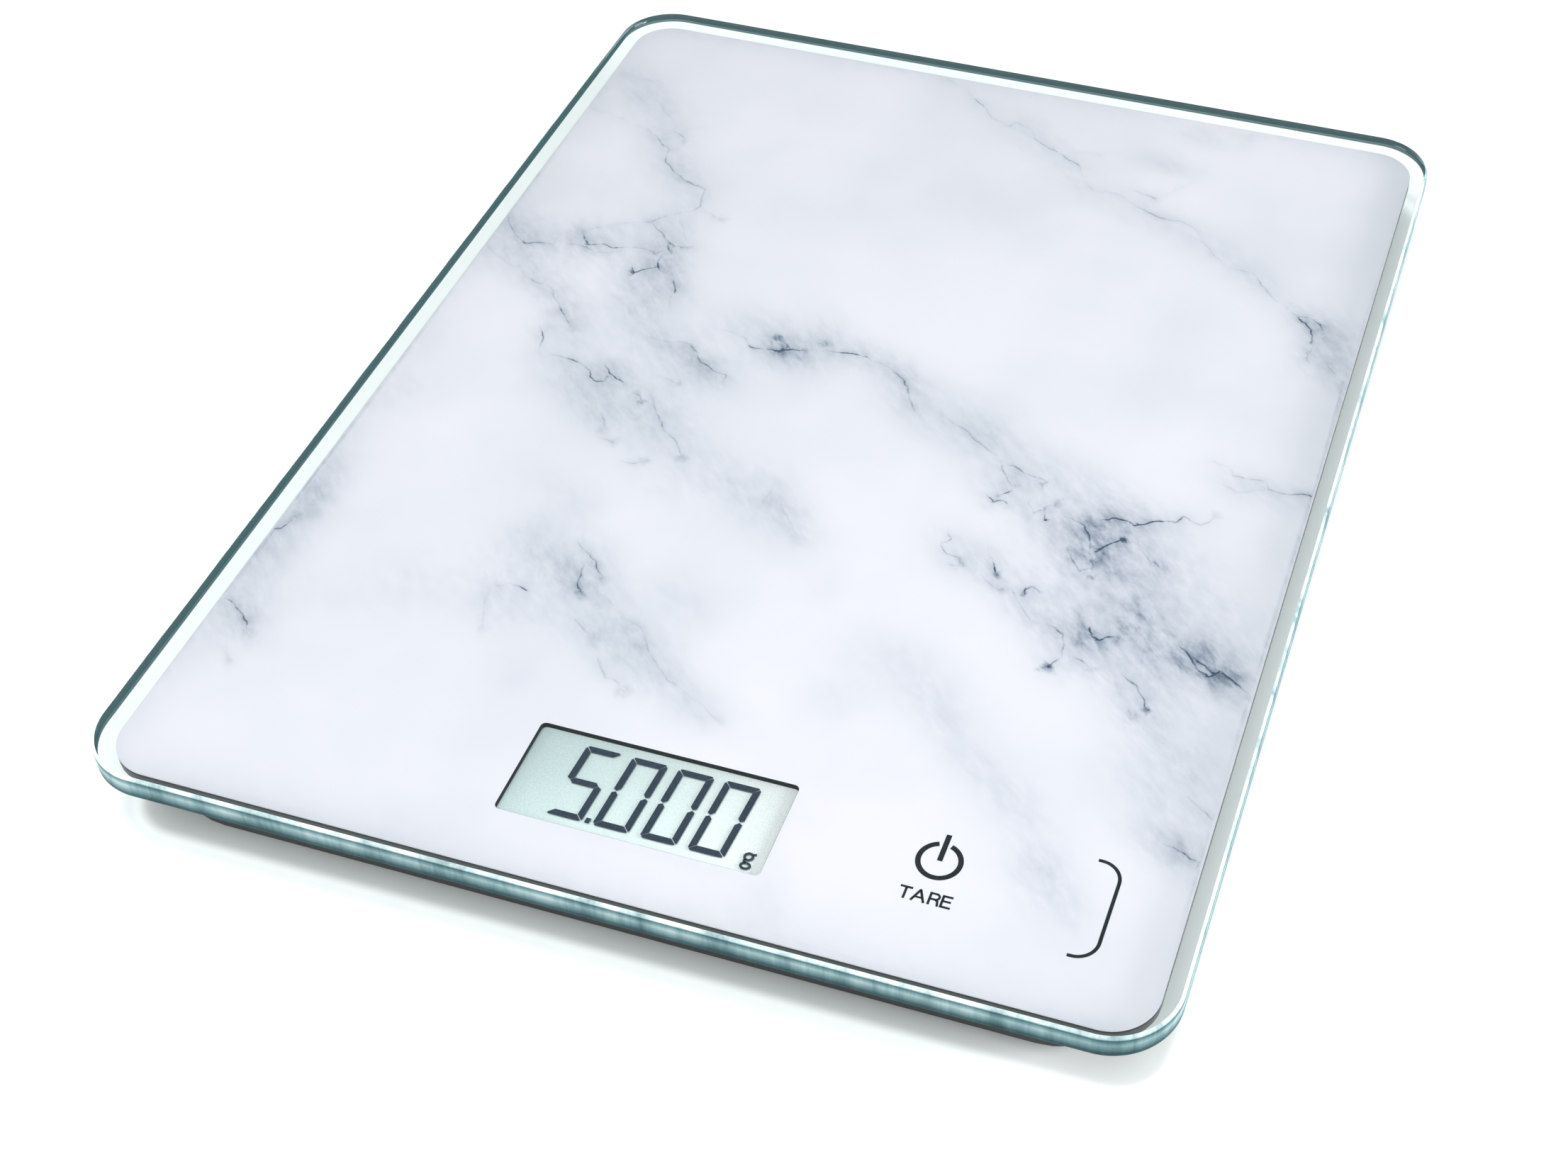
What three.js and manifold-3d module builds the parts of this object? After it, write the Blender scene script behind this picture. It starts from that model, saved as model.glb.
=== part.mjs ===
// Flat digital kitchen scale: a decorated glass platform bonded to a slim black housing that
// stands on four load-cell feet. Millimetres, +X right, +Y back, +Z up, origin on the table
// under the centre of the platform.

import * as THREE from 'three';
import { mergeVertices } from 'three/addons/utils/BufferGeometryUtils.js';
import Module from 'manifold-3d';

const wasm = await Module();
wasm.setup();

// ---- Driving dimensions ----------------------------------------------------------------------

// Glass platform and the decor print under it
const GLASS_WIDTH = 150;
const GLASS_DEPTH = 198;
const GLASS_THICKNESS = 4;
const GLASS_CORNER_RADIUS = 9.5;
const GLASS_ARRIS = 0.45;
const PRINT_BORDER = 2.8;
const PRINT_THICKNESS = 0.2;
const ADHESIVE_THICKNESS = 0.3;

// Housing: a flanged tray under the glass and a base cover that closes it
const TRAY_PLATE = 1.4;
const TUB_INSET = 6.1;
const TUB_CORNER_RADIUS = 11.5;
const TUB_WALL = 1.8;
const COVER_FLOOR = 1.8;
const COVER_EDGE = 0.3;
const COVER_RIM_HEIGHT = 1.6;
const COVER_RIM_WALL = 1;
const RIB_WIDTH = 1.2;
const RIB_HEIGHT = 2.4;
const RIB_SPACING = 34;

// Feet and load cells, one set at each corner
const TABLE_GAP = 1.6;
const FOOT_RADIUS = 8;
const FOOT_FLANGE_RADIUS = 9.3;
const FOOT_FLANGE_HEIGHT = 0.9;
const FOOT_STEM_RADIUS = 3.2;
const FOOT_TRAVEL = 0.4;
const PAD_RADIUS = 7.2;
const PAD_THICKNESS = 0.8;
const PAD_RECESS = 0.3;
const FOOT_EDGE = 0.3;
const CELL_SIZE = 18.6;
const CELL_THICKNESS = 1.2;
const CELL_TONGUE_WIDTH = 7;
const CELL_TONGUE_LENGTH = 11;
const CELL_SLOT = 1.4;
const CARRIER_WALL = 1;
const CARRIER_HEIGHT = 2.2;
const CARRIER_LEDGE = 1.4;
const CARRIER_CORNER_RADIUS = 2;
const CARRIER_TO_WALL = 2.7;

// Display
const WINDOW_WIDTH = 37.2;
const WINDOW_DEPTH = 15.8;
const WINDOW_CORNER_RADIUS = 0.8;
const LCD_WIDTH = 42;
const LCD_DEPTH = 20;
const LCD_LEDGE = 2;
const LCD_SHEET = 1.1;
const LCD_BELOW_PRINT = 0.4;
const REFLECTOR_THICKNESS = 0.2;
const REFLECTOR_MARGIN = 0.5;
const LCD_FRAME_WALL = 1.4;
const ZEBRA_THICKNESS = 1.4;
const ZEBRA_LENGTH = 38;

// Circuit board and what sits on it
const BOARD_THICKNESS = 1.2;
const BOARD_BEHIND_FRAME = 2.6;
const BOARD_LEFT = -30;
const BOARD_ABOVE_FLOOR = 2;
const BOARD_BOSS_RADIUS = 2.3;
const BOARD_CORNER_RADIUS = 1;
const BOARD_SCREW_FROM_FRAME = 1;
const BOARD_SCREW_FROM_EDGE = 3.5;
const CHIP_RADIUS = 5;
const CHIP_HEIGHT = 1;
const CHIP_X = -12;
const CHIP_DOME = [[0.6, 0.85], [0.9, 0.4]];
const SMALL_PARTS_FROM_CHIP = 4;
const CRYSTAL_BEHIND_CHIP = 5;
const CAPACITOR_OFFSETS = [-3, 3];
const CRYSTAL_SIZE = [3.2, 1.5, 0.9];
const CAPACITOR_SIZE = [2, 1.2, 0.8];
const TOUCH_FROM_CARRIER = 3.8;
const TOUCH_BEHIND_WINDOW = 1.3;
const TOUCH_COIL_RADIUS = 2.7;
const TOUCH_WIRE_RADIUS = 0.25;
const TOUCH_TURNS = 5;
const TOUCH_HOLE_RADIUS = 3.6;

// Unit button in the base and its switch on the board
const BUTTON_X = 10;
const BUTTON_RADIUS = 3.5;
const BUTTON_FLANGE_RADIUS = 4.6;
const BUTTON_FLANGE_HEIGHT = 0.5;
const BUTTON_PROUD = 0.2;
const BUTTON_EDGE = 0.4;
const BUTTON_TRAVEL = 0.4;
const SWITCH_SIZE = 5;
const SWITCH_CORNER_RADIUS = 0.6;
const SWITCH_PLUNGER_RADIUS = 1.2;
const SWITCH_BODY_HEIGHT = 0.7;

// Coin cell, its cup in the base cover, its contacts and its twist-lock lid
const BATTERY_Y = 8;
const COIN_RADIUS = 10;
const COIN_THICKNESS = 3.2;
const COIN_EDGE = 0.5;
const COIN_CAP_INSET = 1.2;
const COIN_CAP_HEIGHT = 0.4;
const LID_THICKNESS = 1.2;
const LID_RIM = 0.6;
const LID_NECK_MARGIN = 0.2;
const LID_NECK_WALL = 1.4;
const LID_LUG_REACH = 1.9;
const LID_LUG_HEIGHT = 0.8;
const LID_LUG_ANGLE = Math.PI / 6;
const LID_TURN = Math.PI / 3;
const LID_SLOT_SIZE = [13, 2, 0.7];
const LUG_STEPS = 6;
const CUP_WALL = 1.2;
const CUP_LEDGE = 1;
const CUP_CEILING = 0.7;
const CUP_TO_PLATE = 0.2;
const CONTACT_STRIP = 0.3;
const CONTACT_GAP = 0.6;
const NEGATIVE_CONTACT_X = -4;
const NEGATIVE_CONTACT_WIDTH = 5;
const POSITIVE_CONTACT_X = 6;
const POSITIVE_CONTACT_HEIGHT = 2.6;
const CONTACT_TAB = 2;
const NEGATIVE_CONTACT_BEND_Y = -5;
const NEGATIVE_CONTACT_TIP_Y = 4;
const NEGATIVE_CONTACT_LIFT = 0.05;
const POSITIVE_LEAF_BENDS = [[-1.4, 0.3], [0, 0.8], [-8, 0.9]];

// Screws
const COVER_SCREW = { headRadius: 2.2, headHeight: 1.1, shankRadius: 1.1, length: 6 };
const BOARD_SCREW = { headRadius: 1.7, headHeight: 0.8, shankRadius: 0.8, length: 3.8 };
const COVER_BOSS_RADIUS = 3;
const COVER_BOSS_PAD = 1.2;
const COVER_BOSS_TO_WALL = 2;
const COVER_SCREW_SIDE_Y = 48;
const COVER_SCREW_BACK_X = 26;
const SCREW_POINT = 0.8;
const SCREW_TIP_RADIUS = 0.4;
const SCREW_HEAD_DOME = 0.35;
const SCREW_HEAD_FLAT = 0.7;

// Leads
const LEAD_RADIUS = 0.7;
const LEAD_SIDES = 6;
const LEAD_ON_BOARD = 1.5;
const CELL_LEAD_INSET = 6;
const CELL_LEAD_DRIFT = 2;
const SENSOR_PAD_X = 22;
const FRONT_LEAD = { drop: 4, swing: 8, hook: 6, behindBoard: 4, steps: 12 };
const BACK_LEAD = { drop: 6, behindBoard: 6, steps: 28, bends: [[40, 34], [36, -16], [24, -48]] };
const BATTERY_LEAD = { rise: 1, behindBoard: 8, near: 3, settled: 8, beside: 4, steps: [16, 14] };

// Clearances
const RUNNING_GAP = 0.4;
const FIT_GAP = 0.3;
const SMALL_GAP = 0.1;
const SCREW_GAP = 0.1;

// Facets
const CORNER_STEPS = 8;
const ROUND_STEPS = 24;
const SMALL_ROUND_STEPS = 12;
const COIL_STEPS = 10;

// ---- Heights above the table and places in plan ------------------------------------------------

const FLOOR_TOP = TABLE_GAP + COVER_FLOOR;
const LEDGE_TOP = FLOOR_TOP + CUP_LEDGE / 2;
const LEDGE_BOTTOM = LEDGE_TOP - CUP_LEDGE;
const LID_TOP = LEDGE_TOP + SMALL_GAP + LID_LUG_HEIGHT;
const COIN_BOTTOM = LID_TOP + SMALL_GAP;
const COIN_TOP = COIN_BOTTOM + COIN_THICKNESS;
const CUP_CEILING_BOTTOM = COIN_TOP + CONTACT_GAP;
const CUP_TOP = CUP_CEILING_BOTTOM + CUP_CEILING;
const PLATE_UNDERSIDE = CUP_TOP + CUP_TO_PLATE;
const TRAY_TOP = PLATE_UNDERSIDE + TRAY_PLATE;
const PRINT_BOTTOM = TRAY_TOP + ADHESIVE_THICKNESS;
const GLASS_BOTTOM = PRINT_BOTTOM + PRINT_THICKNESS;

const PRINT_WIDTH = GLASS_WIDTH - 2 * PRINT_BORDER;
const PRINT_DEPTH = GLASS_DEPTH - 2 * PRINT_BORDER;
const PRINT_CORNER_RADIUS = GLASS_CORNER_RADIUS - PRINT_BORDER;
const TUB_WIDTH = GLASS_WIDTH - 2 * TUB_INSET;
const TUB_DEPTH = GLASS_DEPTH - 2 * TUB_INSET;
const TUB_INNER_WIDTH = TUB_WIDTH - 2 * TUB_WALL;
const TUB_INNER_DEPTH = TUB_DEPTH - 2 * TUB_WALL;
const TUB_INNER_RADIUS = TUB_CORNER_RADIUS - TUB_WALL;

const CARRIER_SIZE = CELL_SIZE + 2 * (FIT_GAP + CARRIER_WALL);
const FOOT_X = TUB_INNER_WIDTH / 2 - CARRIER_TO_WALL - CARRIER_SIZE / 2;
const FOOT_Y = TUB_INNER_DEPTH / 2 - CARRIER_TO_WALL - CARRIER_SIZE / 2;
const CELL_TOP = PLATE_UNDERSIDE - CARRIER_HEIGHT;
const CELL_BOTTOM = CELL_TOP - CELL_THICKNESS;
const FOOT_TOP = CELL_BOTTOM - FOOT_TRAVEL - SMALL_GAP;

const BOARD_BOTTOM = FLOOR_TOP + BOARD_ABOVE_FLOOR;
const BOARD_TOP = BOARD_BOTTOM + BOARD_THICKNESS;
const LCD_TOP = PRINT_BOTTOM - LCD_BELOW_PRINT;
const LCD_JOIN = LCD_TOP - LCD_SHEET;
const LCD_REAR_BOTTOM = LCD_JOIN - LCD_SHEET;
const LCD_FRAME_INNER = [LCD_WIDTH + 2 * FIT_GAP, LCD_DEPTH + 2 * FIT_GAP];
const LCD_FRAME_OUTER = LCD_FRAME_INNER.map((size) => size + 2 * LCD_FRAME_WALL);
const LCD_REAR_DEPTH = LCD_DEPTH - 2 * LCD_LEDGE;
const ZEBRA_Y = (LCD_DEPTH - LCD_LEDGE) / 2;
const WINDOW_Y = -TUB_INNER_DEPTH / 2 + FIT_GAP + LCD_FRAME_OUTER[1] / 2;

const BOARD_RIGHT = FOOT_X - CARRIER_SIZE / 2 - FIT_GAP;
const BOARD_WIDTH = BOARD_RIGHT - BOARD_LEFT;
const BOARD_DEPTH = LCD_FRAME_OUTER[1] + BOARD_BEHIND_FRAME;
const BOARD_X = (BOARD_LEFT + BOARD_RIGHT) / 2;
const BOARD_Y = WINDOW_Y + BOARD_BEHIND_FRAME / 2;
const BOARD_BACK = BOARD_Y + BOARD_DEPTH / 2;
const TOUCH_X = FOOT_X - CARRIER_SIZE / 2 - TOUCH_FROM_CARRIER;
const TOUCH_Y = WINDOW_Y + TOUCH_BEHIND_WINDOW;

const LID_NECK_RADIUS = COIN_RADIUS + LID_NECK_MARGIN;
const CUP_INNER_RADIUS = LID_NECK_RADIUS + LID_LUG_REACH + FIT_GAP;
const CUP_OUTER_RADIUS = CUP_INNER_RADIUS + CUP_WALL;
const LID_RADIUS = CUP_INNER_RADIUS + LID_RIM;

const BUTTON_Y = WINDOW_Y;
const BUTTON_TOP = FLOOR_TOP + SMALL_GAP + BUTTON_FLANGE_HEIGHT;
const SWITCH_BOTTOM = BUTTON_TOP + BUTTON_TRAVEL + SMALL_GAP;

const BOARD_SCREW_SIDE = LCD_FRAME_OUTER[0] / 2 + BOARD_BOSS_RADIUS + BOARD_SCREW_FROM_FRAME;
const BOARD_SCREW_REACH = BOARD_DEPTH / 2 - BOARD_SCREW_FROM_EDGE;
const COVER_SCREW_SIDE_X = TUB_INNER_WIDTH / 2 - COVER_BOSS_RADIUS - COVER_BOSS_TO_WALL;
const COVER_SCREW_BACK_Y = TUB_INNER_DEPTH / 2 - COVER_BOSS_RADIUS - COVER_BOSS_TO_WALL;

const CORNERS = [
  { name: 'front_left', x: -1, y: -1 },
  { name: 'front_right', x: 1, y: -1 },
  { name: 'back_left', x: -1, y: 1 },
  { name: 'back_right', x: 1, y: 1 },
];
const COVER_SCREWS = [
  [-COVER_SCREW_SIDE_X, -COVER_SCREW_SIDE_Y],
  [COVER_SCREW_SIDE_X, -COVER_SCREW_SIDE_Y],
  [-COVER_SCREW_SIDE_X, COVER_SCREW_SIDE_Y],
  [COVER_SCREW_SIDE_X, COVER_SCREW_SIDE_Y],
  [-COVER_SCREW_BACK_X, COVER_SCREW_BACK_Y],
  [COVER_SCREW_BACK_X, COVER_SCREW_BACK_Y],
];
const BOARD_SCREWS = [
  [-BOARD_SCREW_SIDE, BOARD_Y - BOARD_SCREW_REACH],
  [BOARD_SCREW_SIDE, BOARD_Y - BOARD_SCREW_REACH],
  [-BOARD_SCREW_SIDE, BOARD_Y + BOARD_SCREW_REACH],
  [BOARD_SCREW_SIDE, BOARD_Y + BOARD_SCREW_REACH],
];

// ---- Finishes ------------------------------------------------------------------------------------

function finish(color, roughness, metalness = 0) {
  return new THREE.MeshStandardMaterial({ color, roughness, metalness });
}

const CLEAR_GLASS = finish(0xcfe6e2, 0.05);
const DECOR_INK = finish(0xe6e8ef, 0.3);
const ADHESIVE = finish(0xf0f0f0, 0.6);
const BLACK_ABS = finish(0x14181a, 0.5);
const DARK_ABS = finish(0x202426, 0.55);
const LCD_GLASS = finish(0xd6dfdd, 0.1);
const LCD_BACKING = finish(0xc8d2cf, 0.4);
const WHITE_PLASTIC = finish(0xe8e8e6, 0.5);
const CONDUCTIVE_RUBBER = finish(0x3a3a3a, 0.8);
const RUBBER = finish(0x1c1c1c, 0.9);
const BOARD_GREEN = finish(0x1f5a38, 0.5);
const EPOXY = finish(0x101010, 0.4);
const CERAMIC = finish(0xb9966a, 0.6);
const STEEL = finish(0xb8bcc0, 0.35, 1);
const NICKEL = finish(0xd0d0cc, 0.3, 1);
const LEAD_SLEEVE = finish(0xd8d8d4, 0.6);
const RED_LEAD = finish(0xb02020, 0.6);
const BLACK_LEAD = finish(0x181818, 0.6);

// ---- Solids ----------------------------------------------------------------------------------------

// Merges shared vertices and drops triangles that have shrunk to a line.
function closed(geometry) {
  geometry.deleteAttribute('normal');
  geometry.deleteAttribute('uv');
  const merged = mergeVertices(geometry, 1e-4);
  const index = merged.index.array;
  const kept = [];
  for (let i = 0; i < index.length; i += 3) {
    const [a, b, c] = [index[i], index[i + 1], index[i + 2]];
    if (a !== b && b !== c && c !== a) kept.push(a, b, c);
  }
  merged.setIndex(kept);
  return merged;
}

function toManifold(geometry) {
  const merged = closed(geometry);
  return new wasm.Manifold(new wasm.Mesh({
    numProp: 3,
    vertProperties: new Float32Array(merged.attributes.position.array),
    triVerts: new Uint32Array(merged.index.array),
  }));
}

function toGeometry(manifold) {
  const mesh = manifold.getMesh();
  const geometry = new THREE.BufferGeometry();
  geometry.setAttribute('position', new THREE.BufferAttribute(mesh.vertProperties, 3));
  geometry.setIndex(new THREE.BufferAttribute(mesh.triVerts, 1));
  return geometry;
}

// Joins the added shapes and takes the cut shapes out of them.
function carve(added, cuts = []) {
  const joined = added.map(toManifold).reduce((whole, piece) => whole.add(piece));
  return toGeometry(cuts.map(toManifold).reduce((whole, cut) => whole.subtract(cut), joined));
}

function roundedRect(width, depth, radius, x = 0, y = 0) {
  const signs = [[1, 1], [-1, 1], [-1, -1], [1, -1]];
  return signs.flatMap(([signX, signY], quarter) =>
    Array.from({ length: CORNER_STEPS + 1 }, (_, step) => {
      const angle = (Math.PI / 2) * (quarter + step / CORNER_STEPS);
      return new THREE.Vector2(
        x + signX * (width / 2 - radius) + radius * Math.cos(angle),
        y + signY * (depth / 2 - radius) + radius * Math.sin(angle),
      );
    }));
}

function rect(width, depth, x = 0, y = 0) {
  return [[1, 1], [-1, 1], [-1, -1], [1, -1]].map(([signX, signY]) =>
    new THREE.Vector2(x + (signX * width) / 2, y + (signY * depth) / 2));
}

function circle(radius, x = 0, y = 0, steps = ROUND_STEPS) {
  return Array.from({ length: steps }, (_, step) => {
    const angle = (2 * Math.PI * step) / steps;
    return new THREE.Vector2(x + radius * Math.cos(angle), y + radius * Math.sin(angle));
  });
}

// A flat piece of one outline, with holes, from height bottom to height bottom + thickness.
function slab(outline, thickness, bottom = 0, holes = []) {
  const shape = new THREE.Shape(outline);
  shape.holes = holes.map((hole) => new THREE.Path(hole));
  const geometry = new THREE.ExtrudeGeometry(shape, { depth: thickness, bevelEnabled: false });
  return geometry.translate(0, 0, bottom);
}

// A slab whose top and bottom edges are both cut off at 45 degrees.
function chamferedSlab(outline, thickness, chamfer, bottom = 0) {
  const geometry = new THREE.ExtrudeGeometry(new THREE.Shape(outline), {
    depth: thickness - 2 * chamfer,
    bevelThickness: chamfer,
    bevelSize: chamfer,
    bevelOffset: -chamfer,
    bevelSegments: 1,
  });
  return geometry.translate(0, 0, bottom + chamfer);
}

// A turned piece from [radius, height] pairs that start and end on the Z axis.
function turned(profile, steps = ROUND_STEPS) {
  const points = profile.map(([radius, height]) => new THREE.Vector2(radius, height));
  return new THREE.LatheGeometry(points, steps).rotateX(Math.PI / 2);
}

function disc(radius, thickness, bottom, x = 0, y = 0, steps = ROUND_STEPS) {
  return slab(circle(radius, x, y, steps), thickness, bottom);
}

function ring(outer, inner, thickness, bottom, x = 0, y = 0) {
  return slab(circle(outer, x, y), thickness, bottom, [circle(inner, x, y)]);
}

function box(size, x, y, bottom) {
  return slab(rect(size[0], size[1], x, y), size[2], bottom);
}

// A round rod bent along a smooth curve through the given points.
function bentRod(points, radius, sides, steps) {
  const path = new THREE.CatmullRomCurve3(points.map((point) => new THREE.Vector3(...point)));
  return closed(new THREE.ExtrudeGeometry(new THREE.Shape(circle(radius, 0, 0, sides)), {
    steps,
    extrudePath: path,
    bevelEnabled: false,
  }));
}

// The outline of a strip of metal bent along a line of [x, y] points, seen edge-on.
function bentStrip(points, thickness) {
  const line = points.map(([x, y]) => new THREE.Vector2(x, y));
  const side = (sign) => line.map((point, i) => {
    const before = line[Math.max(i - 1, 0)];
    const after = line[Math.min(i + 1, line.length - 1)];
    const along = after.clone().sub(before).normalize();
    return new THREE.Vector2(-along.y, along.x).multiplyScalar((sign * thickness) / 2).add(point);
  });
  return [...side(-1), ...side(1).reverse()];
}

// ---- The object ------------------------------------------------------------------------------------

const scale = new THREE.Group();

function addPart(name, geometry, material, x = 0, y = 0, z = 0) {
  const mesh = new THREE.Mesh(geometry, material);
  mesh.name = name;
  mesh.position.set(x, y, z);
  scale.add(mesh);
}

function windowOutline() {
  return roundedRect(WINDOW_WIDTH, WINDOW_DEPTH, WINDOW_CORNER_RADIUS, 0, WINDOW_Y);
}

// Toughened float glass with polished arrises.
function addGlass() {
  const outline = roundedRect(GLASS_WIDTH, GLASS_DEPTH, GLASS_CORNER_RADIUS);
  const glass = chamferedSlab(outline, GLASS_THICKNESS, GLASS_ARRIS);
  addPart('glass_platform', glass, CLEAR_GLASS, 0, 0, GLASS_BOTTOM);
}

// The printed decor layer and the adhesive sheet that bonds it to the tray.
function addDecor() {
  const outline = roundedRect(PRINT_WIDTH, PRINT_DEPTH, PRINT_CORNER_RADIUS);
  const print = slab(outline, PRINT_THICKNESS, 0, [windowOutline()]);
  addPart('decor_print', print, DECOR_INK, 0, 0, PRINT_BOTTOM);
  const sheet = slab(outline, ADHESIVE_THICKNESS, 0, [
    roundedRect(WINDOW_WIDTH + 2 * FIT_GAP, WINDOW_DEPTH + 2 * FIT_GAP, 2 * WINDOW_CORNER_RADIUS,
      0, WINDOW_Y),
  ]);
  addPart('adhesive_sheet', sheet, ADHESIVE, 0, 0, TRAY_TOP);
}

// Moulded tray, heights measured from its top face: flange plate, tub wall, screw bosses, ribs.
function addTray() {
  const wallHeight = PLATE_UNDERSIDE - FLOOR_TOP;
  const wallBottom = -TRAY_PLATE - wallHeight;
  const root = TRAY_PLATE / 2;
  const coverBossBottom = wallBottom + COVER_BOSS_PAD;
  const boardBossBottom = BOARD_TOP - TRAY_TOP;
  const added = [
    slab(roundedRect(PRINT_WIDTH, PRINT_DEPTH, PRINT_CORNER_RADIUS), TRAY_PLATE, -TRAY_PLATE),
    slab(roundedRect(TUB_WIDTH, TUB_DEPTH, TUB_CORNER_RADIUS), wallHeight + root, wallBottom,
      [roundedRect(TUB_INNER_WIDTH, TUB_INNER_DEPTH, TUB_INNER_RADIUS)]),
    ...COVER_SCREWS.map(([x, y]) =>
      disc(COVER_BOSS_RADIUS, -root - coverBossBottom, coverBossBottom, x, y, SMALL_ROUND_STEPS)),
    ...BOARD_SCREWS.map(([x, y]) =>
      disc(BOARD_BOSS_RADIUS, -root - boardBossBottom, boardBossBottom, x, y, SMALL_ROUND_STEPS)),
  ];
  const ribLength = 2 * FOOT_X - CARRIER_SIZE - 2 * RIB_WIDTH;
  const ribCount = Math.floor((FOOT_Y - (BATTERY_Y + CUP_OUTER_RADIUS)) / RIB_SPACING);
  for (let i = 0; i <= ribCount; i += 1) {
    const y = BATTERY_Y + CUP_OUTER_RADIUS + RIB_WIDTH + i * RIB_SPACING;
    added.push(box([ribLength, RIB_WIDTH, RIB_HEIGHT + root], 0, y, -TRAY_PLATE - RIB_HEIGHT));
  }
  const cuts = [
    box([LCD_FRAME_INNER[0], LCD_FRAME_INNER[1], 2 * TRAY_PLATE], 0, WINDOW_Y, -1.5 * TRAY_PLATE),
    disc(TOUCH_HOLE_RADIUS, 2 * TRAY_PLATE, -1.5 * TRAY_PLATE, TOUCH_X, TOUCH_Y),
    ...COVER_SCREWS.map(([x, y]) => pilotHole(COVER_SCREW, coverBossBottom, x, y)),
    ...BOARD_SCREWS.map(([x, y]) => pilotHole(BOARD_SCREW, boardBossBottom, x, y)),
  ];
  addPart('housing_tray', carve(added, cuts), BLACK_ABS, 0, 0, TRAY_TOP);
}

// A blind hole, open at the boss's lower end and deep enough for the whole screw.
function pilotHole(screw, bossBottom, x, y) {
  const depth = screw.length + SCREW_GAP;
  const radius = screw.shankRadius + SCREW_GAP;
  const start = bossBottom - TRAY_PLATE;
  const reach = Math.min(depth + TRAY_PLATE, -TRAY_PLATE / 2 - start);
  return disc(radius, reach, start, x, y, SMALL_ROUND_STEPS);
}

// Moulded base cover, heights measured from its underside.
function addBaseCover() {
  const outline = roundedRect(TUB_WIDTH, TUB_DEPTH, TUB_CORNER_RADIUS);
  const rimGap = FIT_GAP;
  const rimWidth = TUB_INNER_WIDTH - 2 * rimGap;
  const rimDepth = TUB_INNER_DEPTH - 2 * rimGap;
  const rimRadius = TUB_INNER_RADIUS - rimGap;
  const cupTop = CUP_TOP - TABLE_GAP;
  const headDepth = COVER_SCREW.headHeight + 2 * SCREW_GAP;
  const added = [
    chamferedSlab(outline, COVER_FLOOR, COVER_EDGE),
    slab(outline, COVER_FLOOR - COVER_EDGE, COVER_EDGE),
    slab(roundedRect(rimWidth, rimDepth, rimRadius), COVER_RIM_HEIGHT + COVER_EDGE,
      COVER_FLOOR - COVER_EDGE,
      [roundedRect(rimWidth - 2 * COVER_RIM_WALL, rimDepth - 2 * COVER_RIM_WALL,
        rimRadius - COVER_RIM_WALL)]),
    ...COVER_SCREWS.map(([x, y]) => disc(COVER_BOSS_RADIUS, COVER_BOSS_PAD + COVER_EDGE,
      COVER_FLOOR - COVER_EDGE, x, y, SMALL_ROUND_STEPS)),
    disc(CUP_OUTER_RADIUS, cupTop - COVER_EDGE, COVER_EDGE, 0, BATTERY_Y),
  ];
  const ledgeTop = LEDGE_TOP - TABLE_GAP;
  const ceiling = CUP_CEILING_BOTTOM - TABLE_GAP;
  const cuts = [
    disc(LID_RADIUS + FIT_GAP, LEDGE_BOTTOM - TABLE_GAP + COVER_FLOOR, -COVER_FLOOR, 0, BATTERY_Y),
    disc(LID_NECK_RADIUS + FIT_GAP, ceiling, 0, 0, BATTERY_Y),
    disc(CUP_INNER_RADIUS, ceiling - ledgeTop, ledgeTop, 0, BATTERY_Y),
    ...[0, 1].map((side) => lugSector(LID_TURN + side * Math.PI, FIT_GAP, ledgeTop)
      .translate(0, BATTERY_Y, 0)),
    box([NEGATIVE_CONTACT_WIDTH + 2 * FIT_GAP, CUP_INNER_RADIUS, CONTACT_GAP],
      NEGATIVE_CONTACT_X, BATTERY_Y - CUP_INNER_RADIUS, ceiling - CONTACT_GAP),
    box([CONTACT_STRIP + 2 * FIT_GAP, CUP_INNER_RADIUS, POSITIVE_CONTACT_HEIGHT + 2 * FIT_GAP],
      POSITIVE_CONTACT_X, BATTERY_Y - CUP_INNER_RADIUS, COIN_BOTTOM - TABLE_GAP),
    ...CORNERS.map((corner) => disc(FOOT_RADIUS + RUNNING_GAP, 3 * COVER_FLOOR, -COVER_FLOOR,
      corner.x * FOOT_X, corner.y * FOOT_Y)),
    disc(BUTTON_RADIUS + FIT_GAP, 3 * COVER_FLOOR, -COVER_FLOOR, BUTTON_X, BUTTON_Y),
    ...COVER_SCREWS.map(([x, y]) => disc(COVER_SCREW.headRadius + SCREW_GAP,
      headDepth + COVER_FLOOR, -COVER_FLOOR, x, y, SMALL_ROUND_STEPS)),
    ...COVER_SCREWS.map(([x, y]) => disc(COVER_SCREW.shankRadius + SCREW_GAP,
      3 * COVER_FLOOR, 0, x, y, SMALL_ROUND_STEPS)),
  ];
  addPart('base_cover', carve(added, cuts), BLACK_ABS, 0, 0, TABLE_GAP);
}

// A ring sector as wide as one bayonet lug plus a gap, from height 0 up.
function lugSector(angle, gap, height) {
  const inner = LID_NECK_RADIUS - LID_NECK_WALL / 2;
  const outer = LID_NECK_RADIUS + LID_LUG_REACH + gap;
  const half = LID_LUG_ANGLE / 2 + gap / outer;
  const arc = (radius, from, to) => Array.from({ length: LUG_STEPS + 1 }, (_, step) => {
    const at = angle + from + ((to - from) * step) / LUG_STEPS;
    return new THREE.Vector2(radius * Math.cos(at), radius * Math.sin(at));
  });
  return slab([...arc(outer, -half, half), ...arc(inner, half, -half)], height);
}

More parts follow.
